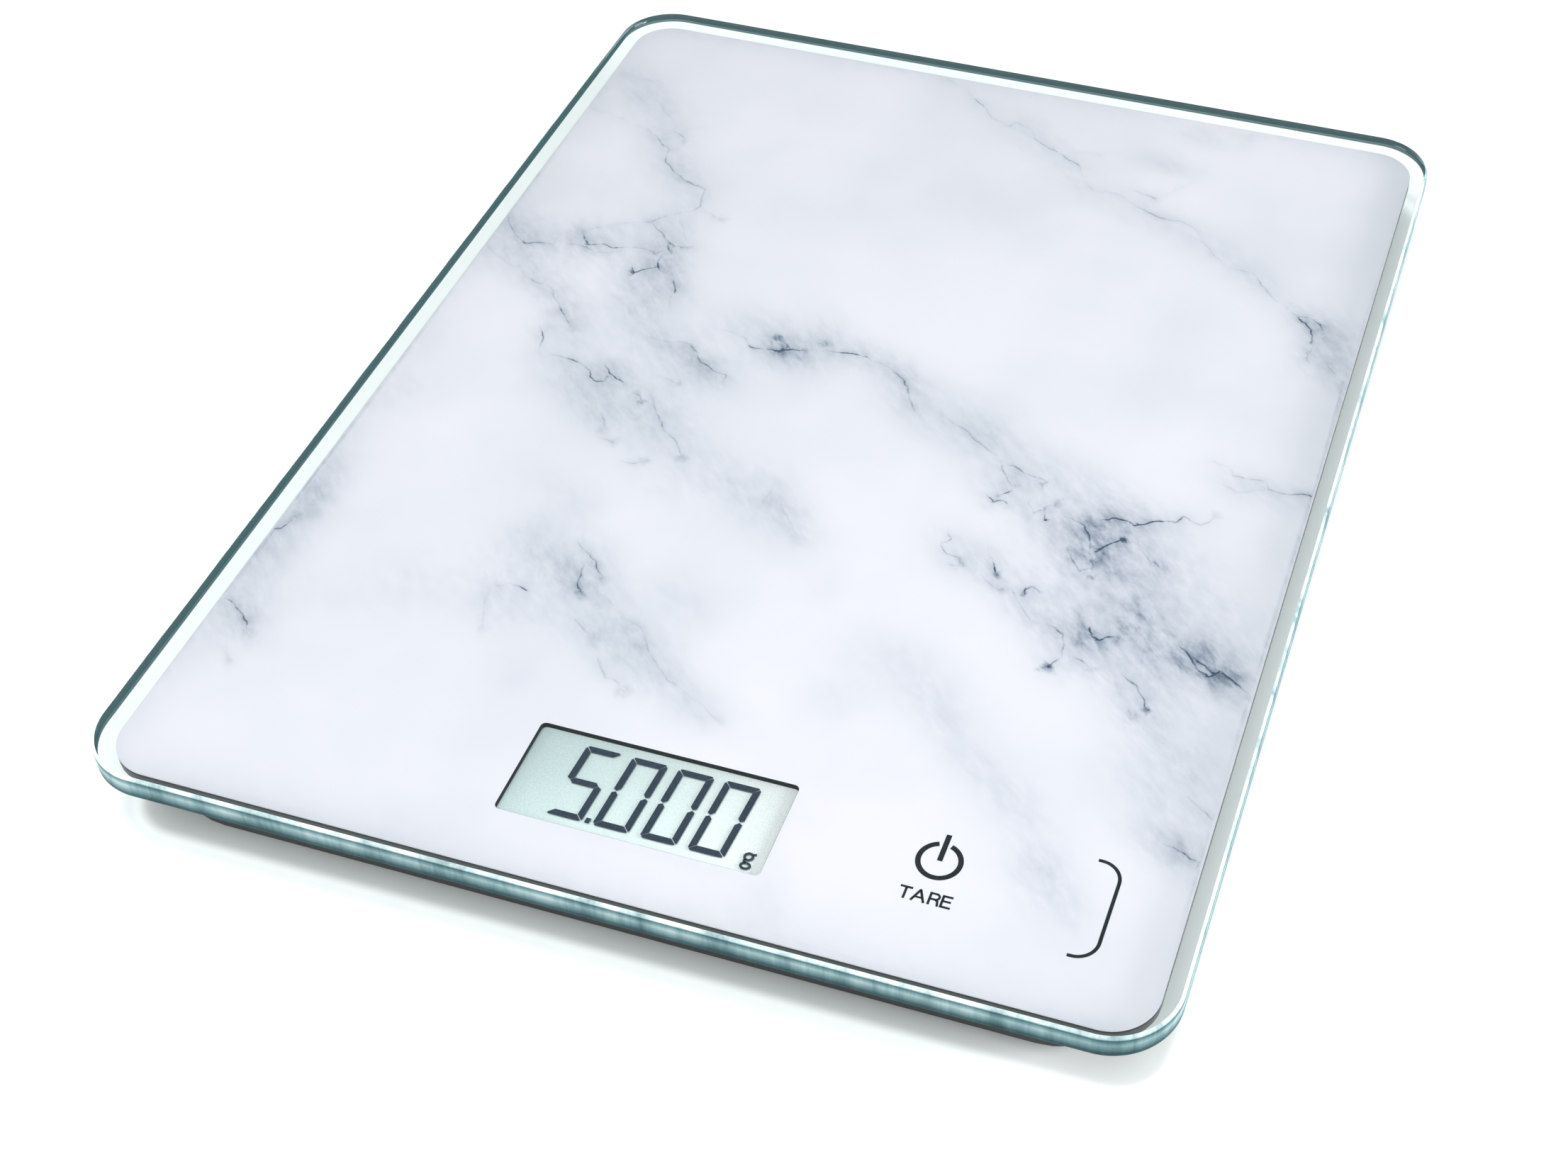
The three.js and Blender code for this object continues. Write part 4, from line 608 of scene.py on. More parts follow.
# Billows 9 mm and curls 1.6 mm across break the smoke up, and grit of 0.5 mm roughens the veins.
# The billows and curls are drawn out along the stone's bedding, which falls to the right.
bedding = add(
    marble, "Mapping", {"vector_type": "TEXTURE"},
    {"Vector": place, "Rotation": (0.0, 0.0, math.radians(-46)), "Scale": (2.2, 1.0, 1.0)},
).outputs[0]
billow = add(
    marble, "TexNoise",
    inputs={"Vector": bedding, "Scale": 1 / (9 * MM), "Detail": 4.0, "Roughness": 0.6},
)
curl = add(
    marble, "TexNoise",
    inputs={"Vector": bedding, "Scale": 1 / (1.6 * MM), "Detail": 5.0, "Roughness": 0.68},
)
grit = add(
    marble, "TexNoise",
    inputs={"Vector": place, "Scale": 1 / (0.5 * MM), "Detail": 3.0, "Roughness": 0.6},
)
texture = add(
    marble, "Math", {"operation": "MULTIPLY_ADD"}, {0: billow.outputs[0], 1: 1.4, 2: -0.15}
)
fine = add(marble, "Math", {"operation": "MULTIPLY_ADD"}, {0: curl.outputs[0], 1: 2.2, 2: -0.50})
body_tone = add(
    marble, "Math", {"operation": "MULTIPLY", "use_clamp": True},
    {0: texture.outputs[0], 1: fine.outputs[0]},
)
smoky = add(
    marble, "Math", {"operation": "MULTIPLY_ADD"}, {0: body_tone.outputs[0], 1: 1.35, 2: 0.30}
)
smoke_and_shade_depth = add(marble, "Math", {"operation": "MULTIPLY"}, {0: smoke_and_edge_shade, 1: smoky.outputs[0]})
broken = add(
    marble, "Math", {"operation": "MULTIPLY_ADD", "use_clamp": True},
    {0: curl.outputs[0], 1: 3.0, 2: -0.85},
)
rough_vein = add(
    marble, "Math", {"operation": "MULTIPLY"}, {0: grit.outputs[0], 1: broken.outputs[0]}
)
line = add(marble, "Math", {"operation": "MULTIPLY"}, {0: vein, 1: rough_vein.outputs[0]})
depth = add(
    marble, "Math", {"operation": "MULTIPLY_ADD"}, {0: line.outputs[0], 1: 2.0, 2: smoke_and_shade_depth.outputs[0]}
)
tone = add(
    marble, "ValToRGB", inputs={"Fac": depth.outputs[0]},
    stops=(
        (0.0, "#FAF9FC"), (0.22, "#E4E7EC"), (0.45, "#C9CFD7"), (0.70, "#98A3B1"), (1.0, "#46566A"),
    ),
)
# Wide, faint clouds 30 mm across, faintly rose, which offsets the green of the pane.
cloud = add(marble, "TexNoise", inputs={"Vector": place, "Scale": 1 / (30 * MM), "Detail": 3.0})
tint = add(
    marble, "ValToRGB", inputs={"Fac": cloud.outputs[0]},
    stops=((0.35, "#E7DBE1"), (0.65, "#F1E2E8")),
)
white = add(
    marble, "Mix", {"data_type": "RGBA", "blend_type": "MULTIPLY"},
    {"Factor": 1.0, 6: tone.outputs[0], 7: tint.outputs[0]},
)
join(marble, shader, {"Base Color": white.outputs[2]})

print_sheet = finished(mesh, "marble_print", "root", [marble])
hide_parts("decor_print")


# ---------------------------------------------------------------------------------------------
# Printed signs. Black ceramic ink: the power sign of the touch key, its word, and the bracket that
# closes the key field. Each stands a hair over the marble, under the glass.
# ---------------------------------------------------------------------------------------------
INK_RISE = 0.012 * MM
INK_DEPTH = 0.03 * MM
KEY_CENTRE = (39.8, -77.5)


def mottled(name, settings, size, detail, dark, light, drawn=None, gloss=None, relief=None):
    """A finish that wanders between two tones over a size in mm. It may be drawn out along the
    axes, wander in gloss too, and have a relief (size in mm, detail, height in mm, strength)."""
    material, shader = new_material(name, settings)
    place = add(material, "TexCoord").outputs["Object"]
    along = place
    if drawn:
        along = add(
            material, "Mapping", {"vector_type": "POINT"}, {"Vector": place, "Scale": drawn}
        ).outputs[0]
    wander = add(
        material, "TexNoise", inputs={"Vector": along, "Scale": 1 / (size * MM), "Detail": detail}
    ).outputs[0]
    tones = add(material, "ValToRGB", inputs={"Fac": wander}, stops=((0.3, dark), (0.7, light)))
    links = {"Base Color": tones.outputs[0]}
    if gloss:
        links["Roughness"] = add(
            material, "MapRange",
            inputs={
                "Value": wander, "From Min": 0.3, "From Max": 0.7,
                "To Min": gloss[0], "To Max": gloss[1],
            },
        ).outputs[0]
    if relief:
        tooth_size, tooth_detail, height, strength = relief
        tooth = add(
            material, "TexNoise",
            inputs={"Vector": place, "Scale": 1 / (tooth_size * MM), "Detail": tooth_detail},
        )
        links["Normal"] = add(
            material, "Bump",
            inputs={"Height": tooth.outputs[0], "Distance": height * MM, "Strength": strength},
        ).outputs[0]
    join(material, shader, links)
    return material


# Dense black ink: one hue, with the mottle of the screen's mesh, drawn at 0.3 mm so that it shows.
ink = mottled(
    "ceramic_ink_black", {"Roughness": 0.55, "Specular IOR Level": 0.1}, 0.3, 2.0,
    "#0A0B10", "#15171D",
)


def stroke(points, width, closed=False):
    """The two sides of a pen stroke along a run of points, as matching (x, y) runs."""
    left, right = [], []
    count = len(points)
    for i, (x, y) in enumerate(points):
        before = points[i - 1] if i or closed else (x, y)
        after = points[(i + 1) % count] if i < count - 1 or closed else (x, y)
        first = Vector((x - before[0], y - before[1]))
        second = Vector((after[0] - x, after[1] - y))
        first = first.normalized() if first.length else second.normalized()
        second = second.normalized() if second.length else first
        along = (first + second).normalized()
        reach = width / 2 / max(0.5, along.dot(first))
        left.append((x - along.y * reach, y + along.x * reach))
        right.append((x + along.y * reach, y - along.x * reach))
    return left, right


def flat_shapes(name, shapes, top, thickness):
    """Flat shapes, each a closed run of (x, y) in mm, as thin raised plates in one mesh."""
    vertices, faces = [], []
    for shape in shapes:
        count, first = len(shape), len(vertices)
        vertices += [(x * MM, y * MM, top) for x, y in shape]
        vertices += [(x * MM, y * MM, top - thickness) for x, y in shape]
        faces.append([first + i for i in range(count)])
        faces.append([first + count + i for i in reversed(range(count))])
        for i in range(count):
            j = (i + 1) % count
            faces.append([first + j, first + i, first + count + i, first + count + j])
    mesh = bpy.data.meshes.new(name)
    mesh.from_pydata(vertices, [], faces)
    return mesh


def penned(strokes):
    """Pen strokes as convex quads, one for each step, which flat_shapes can fill."""
    quads = []
    for points, width, closed in strokes:
        left, right = stroke(points, width, closed)
        for i in range(len(points) if closed else len(points) - 1):
            j = (i + 1) % len(points)
            quads.append([left[i], right[i], right[j], left[j]])
    return quads


def arc(centre, radius_x, start, end, cuts, radius_y=None):
    """Points along an arc, in degrees from +X, anticlockwise when end is larger."""
    radius_y = radius_y or radius_x
    turns = [math.radians(start + (end - start) * i / cuts) for i in range(cuts + 1)]
    return [(centre[0] + radius_x * math.cos(t), centre[1] + radius_y * math.sin(t)) for t in turns]


def printed(name, strokes):
    """Pen strokes as a sign of black ink over the marble."""
    mesh = flat_shapes(name, penned(strokes), print_high.z + INK_RISE, INK_DEPTH)
    finished(mesh, name, "root", [ink])


# The power sign: a ring open for 34 degrees at its top, with a stem.
SIGN_RADIUS, SIGN_PEN, SIGN_STEM, SIGN_OPEN = 2.785, 0.73, 4.46, 34
kx, ky = KEY_CENTRE
ring = arc(KEY_CENTRE, SIGN_RADIUS, 90 + SIGN_OPEN / 2, 450 - SIGN_OPEN / 2, 72)
printed(
    "power_sign", [(ring, SIGN_PEN, False), ([(kx, ky), (kx, ky + SIGN_STEM)], SIGN_PEN, False)]
)

# The word under the key, in a light grotesque 2.05 mm high.
CAP, PEN, BASE = 2.05, 0.34, -84.6
half = PEN / 2
tx, ax, rx, ex = kx - 3.5, kx - 1.78, kx + 0.62, kx + 2.28
word = [
    ([(tx, BASE + CAP - half), (tx + 1.66, BASE + CAP - half)], PEN, False),
    ([(tx + 0.83, BASE), (tx + 0.83, BASE + CAP - half)], PEN, False),
    ([(ax + 0.12, BASE), (ax + 0.98, BASE + CAP - 0.1)], PEN, False),
    ([(ax + 1.84, BASE), (ax + 0.98, BASE + CAP - 0.1)], PEN, False),
    ([(ax + 0.86, BASE + CAP - half), (ax + 1.10, BASE + CAP - half)], PEN, False),
    ([(ax + 0.42, BASE + 0.72), (ax + 1.54, BASE + 0.72)], PEN * 0.9, False),
    ([(rx, BASE), (rx, BASE + CAP)], PEN, False),
    (
        [(rx, BASE + CAP - half), (rx + 0.72, BASE + CAP - half)]
        + arc((rx + 0.72, BASE + 1.44), 0.47, 80, -80, 10, 0.45) + [(rx, BASE + 0.98)],
        PEN * 0.95, False,
    ),
    (
        [(rx + 0.78, BASE + 0.95), (rx + 1.08, BASE + 0.80), (rx + 1.16, BASE + 0.4),
         (rx + 1.26, BASE)],
        PEN * 0.95, False,
    ),
    ([(ex, BASE), (ex, BASE + CAP)], PEN, False),
    ([(ex, BASE + CAP - half), (ex + 1.25, BASE + CAP - half)], PEN, False),
    ([(ex, BASE + CAP * 0.53), (ex + 1.15, BASE + CAP * 0.53)], PEN * 0.95, False),
    ([(ex, BASE + half), (ex + 1.28, BASE + half)], PEN, False),
]
printed("key_word", word)

# The bracket: two quarter bends joined by a straight, with a short tail at each end.
BRACKET_LEFT, BRACKET_MIDDLE, BRACKET_BEND, BRACKET_PEN = 59.25, 59.8, 2.9, 0.5
BRACKET_HIGH, BRACKET_LOW = -71.1, -86.7
bracket = (
    [(BRACKET_LEFT, BRACKET_HIGH)]
    + arc((BRACKET_MIDDLE, BRACKET_HIGH - BRACKET_BEND), BRACKET_BEND, 90, 0, 12)
    + arc((BRACKET_MIDDLE, BRACKET_LOW + BRACKET_BEND), BRACKET_BEND, 0, -90, 12)
    + [(BRACKET_LEFT, BRACKET_LOW)]
)
printed("key_bracket", [(bracket, BRACKET_PEN, False)])


# ---------------------------------------------------------------------------------------------
# Display. A reflective liquid-crystal cell, clipped into a frame under the print's window. Its
# front pane has the look of the grey-green reflector, and the numerals stand clear of it.
# ---------------------------------------------------------------------------------------------
# The numerals stand this far over the reflector, so they throw a soft shadow on it.
NUMERAL_LIFT = 0.24 * MM
DIGIT_W, DIGIT_H, DIGIT_PITCH, DIGIT_SLANT = 5.12, 12.4, 6.66, math.tan(math.radians(3.2))
# A bar's width, half the gap between two bars, and how far a bar's outer corners are cut (mm).
BAR, GAP, CUT = 0.94, 0.07, 0.42
DIGITS_LEFT, DIGITS_LOW = -12.05, -85.2
NUMERAL_DEPTH = 0.02 * MM
# The pane's eased edge and its corner (mm).
PANE_EASE, PANE_CORNER = 0.12, 0.3

cell_low, cell_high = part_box("lcd_front_glass")
# Matt polariser over an aluminium-flake reflector: grey-green with painted light, darker to its
# left and lighter to its right, and with a grain of about 0.2 mm.
reflector, shader = new_material(
    "lcd_polariser", {"Roughness": 0.42, "IOR": 1.49, "Specular IOR Level": 0.4}
)
place = add(reflector, "TexCoord").outputs["Object"]
across = add(reflector, "SeparateXYZ", inputs={0: place})
swept = add(
    reflector, "MapRange",
    inputs={"Value": across.outputs["X"], "From Min": -20 * MM, "From Max": 20 * MM},
)
grain = add(reflector, "TexNoise", inputs={"Vector": place, "Scale": 1 / (0.2 * MM), "Detail": 2.0})
# Painted light: the reflector's tone lightens from left to right.
painted_light_sweep = add(
    reflector, "ValToRGB", inputs={"Fac": swept.outputs[0]},
    stops=((0.0, "#CCD2D4"), (0.55, "#E6E6E7"), (1.0, "#FFF5F6")),
)
speckle = add(
    reflector, "ValToRGB", inputs={"Fac": grain.outputs[0]},
    stops=((0.3, "#E6EAE8"), (0.7, "#FFFFFF")),
)
both = add(
    reflector, "Mix", {"data_type": "RGBA", "blend_type": "MULTIPLY"},
    {"Factor": 1.0, 6: painted_light_sweep.outputs[0], 7: speckle.outputs[0]},
)
grain_bump = add(
    reflector, "Bump",
    inputs={"Height": grain.outputs[0], "Distance": 0.01 * MM, "Strength": 0.5},
)
join(reflector, shader, {"Base Color": both.outputs[2], "Normal": grain_bump.outputs[0]})

numerals_top = cell_high.z - NUMERAL_DEPTH / 2
pane_top = numerals_top - NUMERAL_DEPTH - NUMERAL_LIFT
half_x, half_y = cell_high.x, (cell_high.y - cell_low.y) / 2
cell_centre = (0.0, (cell_high.y + cell_low.y) / 2)
rings = []
for inset, z in (
    (PANE_EASE, cell_low.z), (0, cell_low.z + PANE_EASE * MM),
    (0, pane_top - PANE_EASE * MM), (PANE_EASE, pane_top),
):
    outline = rounded_outline(
        half_x - inset * MM, half_y - inset * MM, PANE_CORNER * MM, cuts=3, centre=cell_centre
    )
    rings.append([(x, y, z) for x, y in outline])
pane = finished(
    lofted("display_pane", rings), "display_pane", "root", [reflector], sharp=40
)
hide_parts("lcd_front_glass")

# A black foam gasket lines the window, from just over the pane up to the printed face. Its section
# is given as (into the window, height) in mm, and runs once round.
GASKET = ((0.03, 11.49), (-0.25, 11.49), (-0.25, 10.66), (0.03, 10.66))
gasket_points, gasket_faces = [], []
for inset, height in GASKET:
    outline = rounded_outline(
        WINDOW_HALF_X - inset, WINDOW_HALF_Y - inset, WINDOW_CORNER - inset,
        cuts=6, centre=WINDOW_CENTRE,
    )
    gasket_points += [(x * MM, y * MM, height * MM) for x, y in outline]
around = len(gasket_points) // len(GASKET)
for side in range(len(GASKET)):
    this, following = side * around, (side + 1) % len(GASKET) * around
    for i in range(around):
        j = (i + 1) % around
        gasket_faces.append([this + i, this + j, following + j, following + i])
mesh = bpy.data.meshes.new("window_gasket")
mesh.from_pydata(gasket_points, [], gasket_faces)
gasket_foam = mottled(
    "black_polyurethane_foam", {"Roughness": 0.85, "Specular IOR Level": 0.2}, 0.2, 2.0,
    "#0A0C0D", "#15181A",
)
finished(mesh, "window_gasket", "root", [gasket_foam])

# Blue-black liquid crystal in its dark state.
dark_crystal = mottled(
    "lcd_segments", {"Roughness": 0.4, "IOR": 1.5, "Specular IOR Level": 0.2}, 0.4, 1.0,
    "#232A38", "#2E3645",
)


def flipped(bar):
    """A numeral's bar, top to bottom."""
    return [(x, DIGIT_H - y) for x, y in reversed(bar)]


def turned(bar):
    """A numeral's bar, side to side."""
    return [(DIGIT_W - x, y) for x, y in reversed(bar)]


def seven_segments(lit):
    """The lit bars of one numeral as closed runs of (x, y) from its lower left corner, in mm."""
    w, h, t, e, m = DIGIT_W, DIGIT_H, BAR, GAP, DIGIT_H / 2
    top = [
        (CUT, h), (w - CUT, h), (w - CUT / 2, h - CUT / 2.6), (w - t - e, h - t),
        (t + e, h - t), (CUT / 2, h - CUT / 2.6),
    ]
    upper = [
        (0, h - CUT), (CUT / 2.6, h - CUT / 2 - e), (t, h - t - e), (t, m + t / 2 + e),
        (t / 2, m + e), (0, m + 0.32),
    ]
    middle = [
        (t / 2 + e, m), (t + e, m + t / 2), (w - t - e, m + t / 2), (w - t / 2 - e, m),
        (w - t - e, m - t / 2), (t + e, m - t / 2),
    ]
    bars = {
        "a": top, "b": turned(upper), "c": flipped(turned(upper)), "d": flipped(top),
        "e": flipped(upper), "f": upper, "g": middle,
    }
    return [bars[name] for name in lit]


# Four numerals, the point after the first, and the unit's small letter in pen strokes.
shapes = []
for number, lit in enumerate(("afgcd", "abcdef", "abcdef", "abcdef")):
    left = DIGITS_LEFT + number * DIGIT_PITCH
    for bar in seven_segments(lit):
        shapes.append([(left + x + y * DIGIT_SLANT, DIGITS_LOW + y) for x, y in bar])
shapes.append([(-6.5, -85.2), (-5.85, -85.2), (-5.8, -84.35), (-6.45, -84.35)])
unit = [
    (arc((16.05, -83.95), 0.55, 0, 360, 20)[:-1], 0.36, True),
    (arc((16.10, -85.45), 0.62, 0, 360, 20, 0.46)[:-1], 0.34, True),
    ([(15.7, -84.4), (15.65, -84.75), (16.0, -85.0)], 0.32, False),
    ([(16.45, -83.5), (16.95, -83.35)], 0.3, False),
]
numerals = flat_shapes("display_numerals", shapes + penned(unit), numerals_top, NUMERAL_DEPTH)
finished(numerals, "display_numerals", "root", [dark_crystal])

# Behind the pane: the rear glass, its reflector foil, the moulded frame that holds the cell, and
# the two rubber strips that join its contacts to the board.
# Plain lamp glass seen on edge: grey-green, with the drag marks of its scored and snapped edges.
rear_glass = mottled(
    "lcd_soda_lime_glass", {"IOR": 1.52, "Roughness": 0.12}, 0.8, 3.0, "#8FA8A2", "#A9BEB8"
)
# Aluminised foil, rolled matt, with rolling lines 0.11 mm apart.
foil = mottled(
    "rolled_aluminium_foil", {"Metallic": 1.0, "Roughness": 0.35}, 5, 2.0, "#B9BCBD", "#D5D7D8",
    drawn=(1.0, 45.0, 1.0),
)
# White polystyrene, injection moulded: half matt, with a slight cloudiness.
white_plastic = mottled(
    "moulded_polystyrene_white", {"IOR": 1.59, "Roughness": 0.4}, 6, 2.0, "#DEDFDC", "#E9EAE7"
)
# Silicone rubber with layers of carbon, drawn 0.7 mm apart along the strip so that they show.
zebra, shader = new_material("conductive_silicone_rubber", {"Roughness": 0.7})
place = add(zebra, "TexCoord").outputs["Object"]
bands = add(
    zebra, "TexWave", {"bands_direction": "X"},
    {"Vector": place, "Scale": 1 / (2.3 * MM), "Distortion": 0.2},
)
banded = add(
    zebra, "ValToRGB", inputs={"Fac": bands.outputs["Fac"]},
    stops=((0.4, "#1C1C1E"), (0.6, "#B88E86")),
)
join(zebra, shader, {"Base Color": banded.outputs[0]})


def faced(material, *names):
    """Gives carried-over nodes their finish."""
    for name in names:
        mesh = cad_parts[name].data
        mesh.materials.clear()
        mesh.materials.append(material)


faced(rear_glass, "lcd_rear_glass")
faced(foil, "lcd_reflector")
faced(white_plastic, "lcd_frame")
faced(zebra, "zebra_strip_front", "zebra_strip_back")


# ---------------------------------------------------------------------------------------------
# Adhesive sheet. Black double-sided acrylic foam tape, die-cut to the print, which bonds the
# platform to the tub. Only its cut edge shows, as a thin dark line under the print.
# ---------------------------------------------------------------------------------------------
# Black acrylic foam: dull, with the small open cells of its cut edge, 0.25 mm across.
tape, shader = new_material("acrylic_foam_tape", {"Roughness": 0.85})
place = add(tape, "TexCoord").outputs["Object"]
cells = add(tape, "TexVoronoi", inputs={"Vector": place, "Scale": 1 / (0.25 * MM)})
open_cells = add(
    tape, "ValToRGB", inputs={"Fac": cells.outputs["Distance"]},
    stops=((0.0, "#08080A"), (0.6, "#16171A")),
)
join(tape, shader, {"Base Color": open_cells.outputs[0]})
faced(tape, "adhesive_sheet")


# ---------------------------------------------------------------------------------------------
# Housing tub and cover. Black ABS, injection moulded with a spark-eroded grain: a shallow tub
# whose flange carries the glass, and the flat cover screwed up into it from below.
# ---------------------------------------------------------------------------------------------
# Black ABS: half matt, IOR 1.54, with a fine eroded grain of about 0.4 mm and broad flow clouds.
abs_black = mottled(
    "moulded_abs_black", {"IOR": 1.54, "Roughness": 0.45}, 18, 2.0, "#121416", "#1A1C1F",
    gloss=(0.38, 0.50), relief=(0.4, 3.0, 0.02, 0.6),
)


def refined(node, name, edge, body, material, sharp=28):
    """The node's shape as a finished piece: true edges rounded off and curved walls smooth."""
    form = bmesh.new()
    form.from_mesh(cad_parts[node].data)
    bmesh.ops.remove_doubles(form, verts=form.verts, dist=0.001 * MM)
    bmesh.ops.dissolve_limit(
        form, angle_limit=math.radians(1), verts=form.verts, edges=form.edges, delimit={"NORMAL"}
    )
    turned = [e for e in form.edges if e.is_manifold and e.calc_face_angle(0) > math.radians(sharp)]
    bmesh.ops.bevel(
        form, geom=turned, offset=edge, offset_type="OFFSET", segments=2, profile=0.5,
        affect="EDGES", clamp_overlap=True,
    )
    mesh = bpy.data.meshes.new(name)
    form.to_mesh(mesh)
    form.free()
    piece = finished(mesh, name, body, [material], sharp=50)
    weighted = piece.modifiers.new("even_shading", "WEIGHTED_NORMAL")
    weighted.keep_sharp = True
    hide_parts(node)


refined("housing_tray", "housing_tub", 0.12 * MM, "root", abs_black)
refined("base_cover", "base_cover_shell", 0.15 * MM, "root", abs_black)


# ---------------------------------------------------------------------------------------------
# Battery lid and unit key. The lid is a bayonet disc turned with a coin; the key is a small cap
# that changes between grams and ounces. Both are moulded in grey-black ABS, finer than the tub.
# ---------------------------------------------------------------------------------------------
# Dark ABS with a polished mould: smoother than the tub, with faint scuffs.
abs_dark = mottled(
    "moulded_abs_dark", {"IOR": 1.54, "Roughness": 0.3}, 3, 4.0, "#1B1D20", "#24272A",
    gloss=(0.24, 0.42),
)
refined("battery_lid", "battery_lid_disc", 0.12 * MM, "battery_lid_body", abs_dark)
refined("unit_button", "unit_key_cap", 0.12 * MM, "unit_button_body", abs_dark)


# ---------------------------------------------------------------------------------------------
# Feet. Each is a grey-black moulded button that presses on its load cell, with a soft rubber pad
# let into its underside so that the scale stands firm.
# ---------------------------------------------------------------------------------------------
# Nitrile rubber pad: dull and dark grey, with the fine tooth of its mould, 0.3 mm.
rubber = mottled(
    "nitrile_rubber", {"Roughness": 0.8, "IOR": 1.52}, 0.3, 2.0, "#2A2C2E", "#383A3C",
    relief=(0.3, 2.0, 0.02, 0.8),
)
CORNERS = ("front_left", "front_right", "back_left", "back_right")
for corner in CORNERS:
    body = f"foot_{corner}_body"
    refined(f"foot_{corner}", f"foot_button_{corner}", 0.12 * MM, body, abs_dark)
    refined(f"foot_pad_{corner}", f"foot_rubber_{corner}", 0.15 * MM, body, rubber)


# ---------------------------------------------------------------------------------------------
# Screws. Pan-head self-tapping steel screws, zinc plated: six hold the cover, four the board.
# ---------------------------------------------------------------------------------------------
# Bright zinc on steel: a pale metal with patchy passivation.
zinc = mottled(
    "zinc_plated_steel", {"Metallic": 1.0, "Roughness": 0.3}, 1.2, 3.0, "#9FA2A5", "#BFC2C4",
    gloss=(0.22, 0.40),
)
for number in range(1, 7):
    screw = f"cover_screw_{number}"
    refined(screw, f"cover_screw_piece_{number}", 0.06 * MM, "root", zinc)
faced(zinc, *[f"board_screw_{number}" for number in range(1, 5)])


# ---------------------------------------------------------------------------------------------
# Load cells. A stamped spring-steel plate with a slotted tongue over each foot, clipped into a
# moulded carrier, and joined to the board by its sleeved lead.
# ---------------------------------------------------------------------------------------------
# Spring steel, rolled and blued: grey metal with rolling lines 0.2 mm apart.
spring_steel = mottled(
    "rolled_spring_steel", {"Metallic": 1.0, "Roughness": 0.38}, 10 / 3, 3.0,
    "#83878B", "#A6AAAD", drawn=(1.0, 50 / 3, 1.0),
)
# Grey ABS, moulded, half matt.
grey_plastic = mottled(
    "moulded_abs_grey", {"IOR": 1.54, "Roughness": 0.5}, 4, 3.0, "#77797B", "#858789"
)
# PVC sleeves: half gloss, with slight handling marks. One recipe, in the colours of the leads.
sleeves = {
    hue: mottled(f"pvc_sleeve_{hue}", {"IOR": 1.53, "Roughness": 0.42}, 1.5, 3.0, dark, light)
    for hue, dark, light in (
        ("grey", "#5C5F62", "#6E7174"), ("red", "#9C1A17", "#B5231E"), ("black", "#131315", "#1E1E21")
    )
}
for corner in CORNERS:
    faced(spring_steel, f"load_cell_{corner}")
    faced(grey_plastic, f"cell_carrier_{corner}")
    faced(sleeves["grey"], f"sensor_lead_{corner}")
faced(sleeves["red"], "battery_lead_positive")
faced(sleeves["black"], "battery_lead_negative")


# ---------------------------------------------------------------------------------------------
# Board and battery. A glass-epoxy board under green resist with its chip under a black epoxy
# drop, a quartz can, two capacitors, the touch spring, the unit switch, and a coin cell in clips.
# ---------------------------------------------------------------------------------------------
# Green solder resist: glossy, in rows 0.6 mm apart where the copper runs show paler beneath.
board_resist, shader = new_material("solder_resist_green", {"IOR": 1.55, "Roughness": 0.25})
place = add(board_resist, "TexCoord").outputs["Object"]
runs = add(
    board_resist, "TexBrick",
    inputs={
        "Vector": place, "Scale": 1 / (2.4 * MM), "Mortar Size": 0.25, "Color1": linear("#0E4A2C"),
        "Color2": linear("#12502F"), "Mortar": linear("#1D6B3F"),
    },
)
join(board_resist, shader, {"Base Color": runs.outputs["Color"]})
# Epoxy drop over the chip: black and glossy, with slight unevenness from its flow.
epoxy = mottled("black_epoxy", {"IOR": 1.56, "Roughness": 0.18}, 2, 1.0, "#09090A", "#141416")
# Fired ceramic, tan, with a fine chalky grain.
ceramic = mottled("fired_ceramic_tan", {"Roughness": 0.6}, 0.2, 2.0, "#A5835C", "#BA9A72")
# Nickel plate, drawn or stamped: warm grey metal with faint handling marks.
nickel = mottled(
    "nickel_plated_steel", {"Metallic": 1.0, "Roughness": 0.24}, 0.9, 4.0, "#B5B0A8", "#CBC7C0",
    gloss=(0.18, 0.32),
)
faced(board_resist, "main_board")
faced(epoxy, "chip_blob")
faced(ceramic, "capacitor_1", "capacitor_2")
faced(nickel, "battery_contact_negative", "battery_contact_positive")
faced(nickel, "crystal", "coin_cell", "touch_spring")
faced(abs_dark, "unit_switch")


# ---------------------------------------------------------------------------------------------
# Studio. A plain white floor, a dim pale surround, a wide panel above and in front, a small key
# lamp almost straight above, and two low soft lamps, to the right and to the front left.
# ---------------------------------------------------------------------------------------------
# Matt white laminate with the faintest mottle.
floor_white = mottled(
    "matt_white_laminate", {"Roughness": 0.9, "Specular IOR Level": 0.1}, 4, 2.0,
    "#F8F9F9", "#FBFBFB",
)
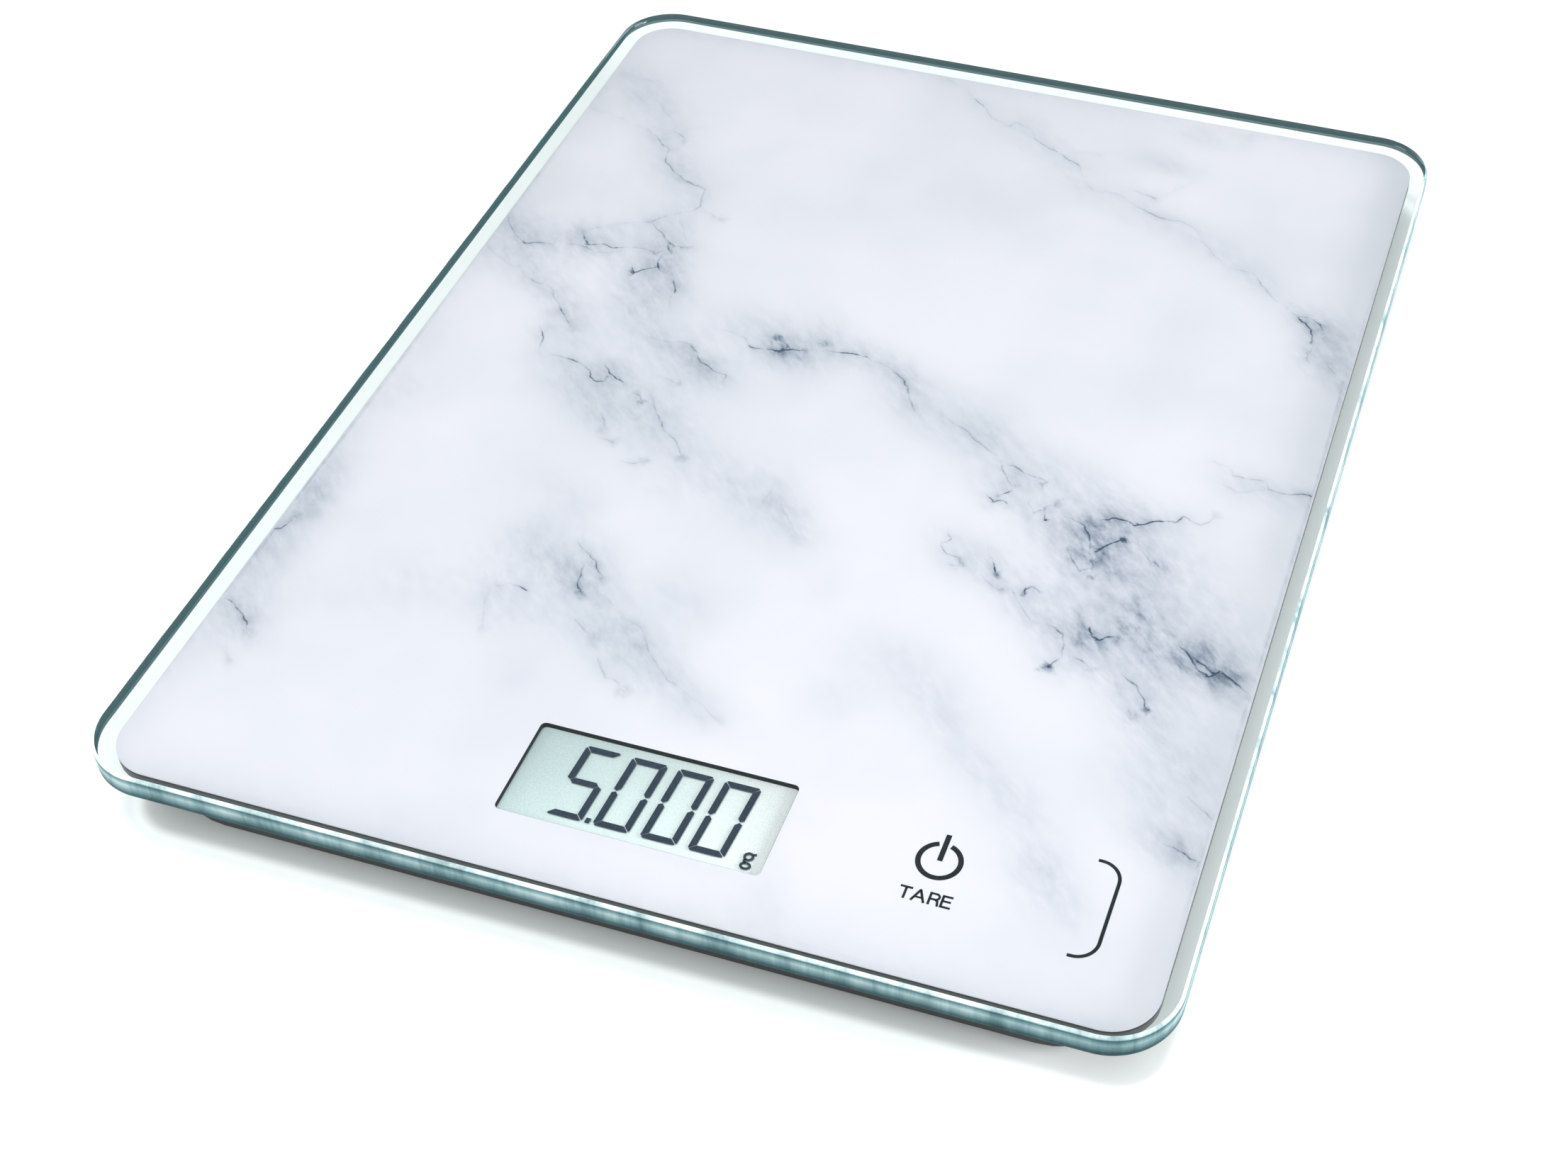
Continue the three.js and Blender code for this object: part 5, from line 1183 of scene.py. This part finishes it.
# Seen from beneath the laminate is clear, so that the scale's underside shows.
beneath = add(floor_white, "NewGeometry").outputs["Backfacing"]
laminate = floor_white.node_tree.nodes["Principled BSDF"].outputs[0]
unseen = add(floor_white, "BsdfTransparent").outputs[0]
one_sided = add(floor_white, "MixShader", inputs={0: beneath, 1: laminate, 2: unseen})
join(
    floor_white, floor_white.node_tree.nodes["Material Output"], {"Surface": one_sided.outputs[0]}
)
FLOOR_HALF = 4
FLOOR_CORNERS = ((-1, -1), (1, -1), (1, 1), (-1, 1))
mesh = bpy.data.meshes.new("floor")
corners = [(x * FLOOR_HALF, y * FLOOR_HALF, 0) for x, y in FLOOR_CORNERS]
mesh.from_pydata(corners, [], [[0, 1, 2, 3]])
mesh.materials.append(floor_white)
floor = bpy.data.objects.new("floor", mesh)
bpy.context.scene.collection.objects.link(floor)

surround = bpy.data.worlds.new("white_surround")
surround.use_nodes = True
background = surround.node_tree.nodes["Background"]
background.inputs["Color"].default_value = linear("#DDF5F3")
background.inputs["Strength"].default_value = 0.24
bpy.context.scene.world = surround
bpy.context.scene.view_settings.view_transform = "Standard"


def soft_lamp(name, place, aim, size, power):
    """A square soft lamp at a place, facing a point."""
    lamp = bpy.data.lights.new(name, "AREA")
    lamp.shape = "SQUARE"
    lamp.size = size
    lamp.energy = power
    holder = bpy.data.objects.new(name, lamp)
    holder.location = place
    holder.rotation_euler = (Vector(aim) - Vector(place)).to_track_quat("-Z", "Y").to_euler()
    bpy.context.scene.collection.objects.link(holder)


soft_lamp("overhead_panel", (0.0, -0.55, 1.1), (0, -0.45, 0), 1.5, 13.0)
soft_lamp("key_softbox", (-0.08, -0.19, 1.0), (0, 0, 0), 0.16, 4.0)
soft_lamp("right_softbox", (0.9, 0.0, 0.28), (0.08, 0, 0), 0.5, 9.0)
soft_lamp("front_left_softbox", (-0.7, -0.7, 0.25), (-0.04, -0.09, 0), 0.5, 3.5)

# The lens, where it stands in front and to the right, and which ways its picture's right and up go.
CAMERA_PLACE = (0.0961, -0.2604, 0.2528)
CAMERA_RIGHT = Vector((0.9516, 0.3075, 0.0))
CAMERA_UP = Vector((-0.2167, 0.6707, 0.7093))
camera = bpy.data.cameras.new("camera")
camera.sensor_width = 36
camera.lens = 54.45
camera.shift_x = -0.0859
camera.clip_start = 0.01
viewpoint = bpy.data.objects.new("camera", camera)
axes = Matrix((CAMERA_RIGHT, CAMERA_UP, CAMERA_RIGHT.cross(CAMERA_UP))).transposed().to_4x4()
viewpoint.matrix_world = Matrix.Translation(CAMERA_PLACE) @ axes
bpy.context.scene.collection.objects.link(viewpoint)
bpy.context.scene.camera = viewpoint
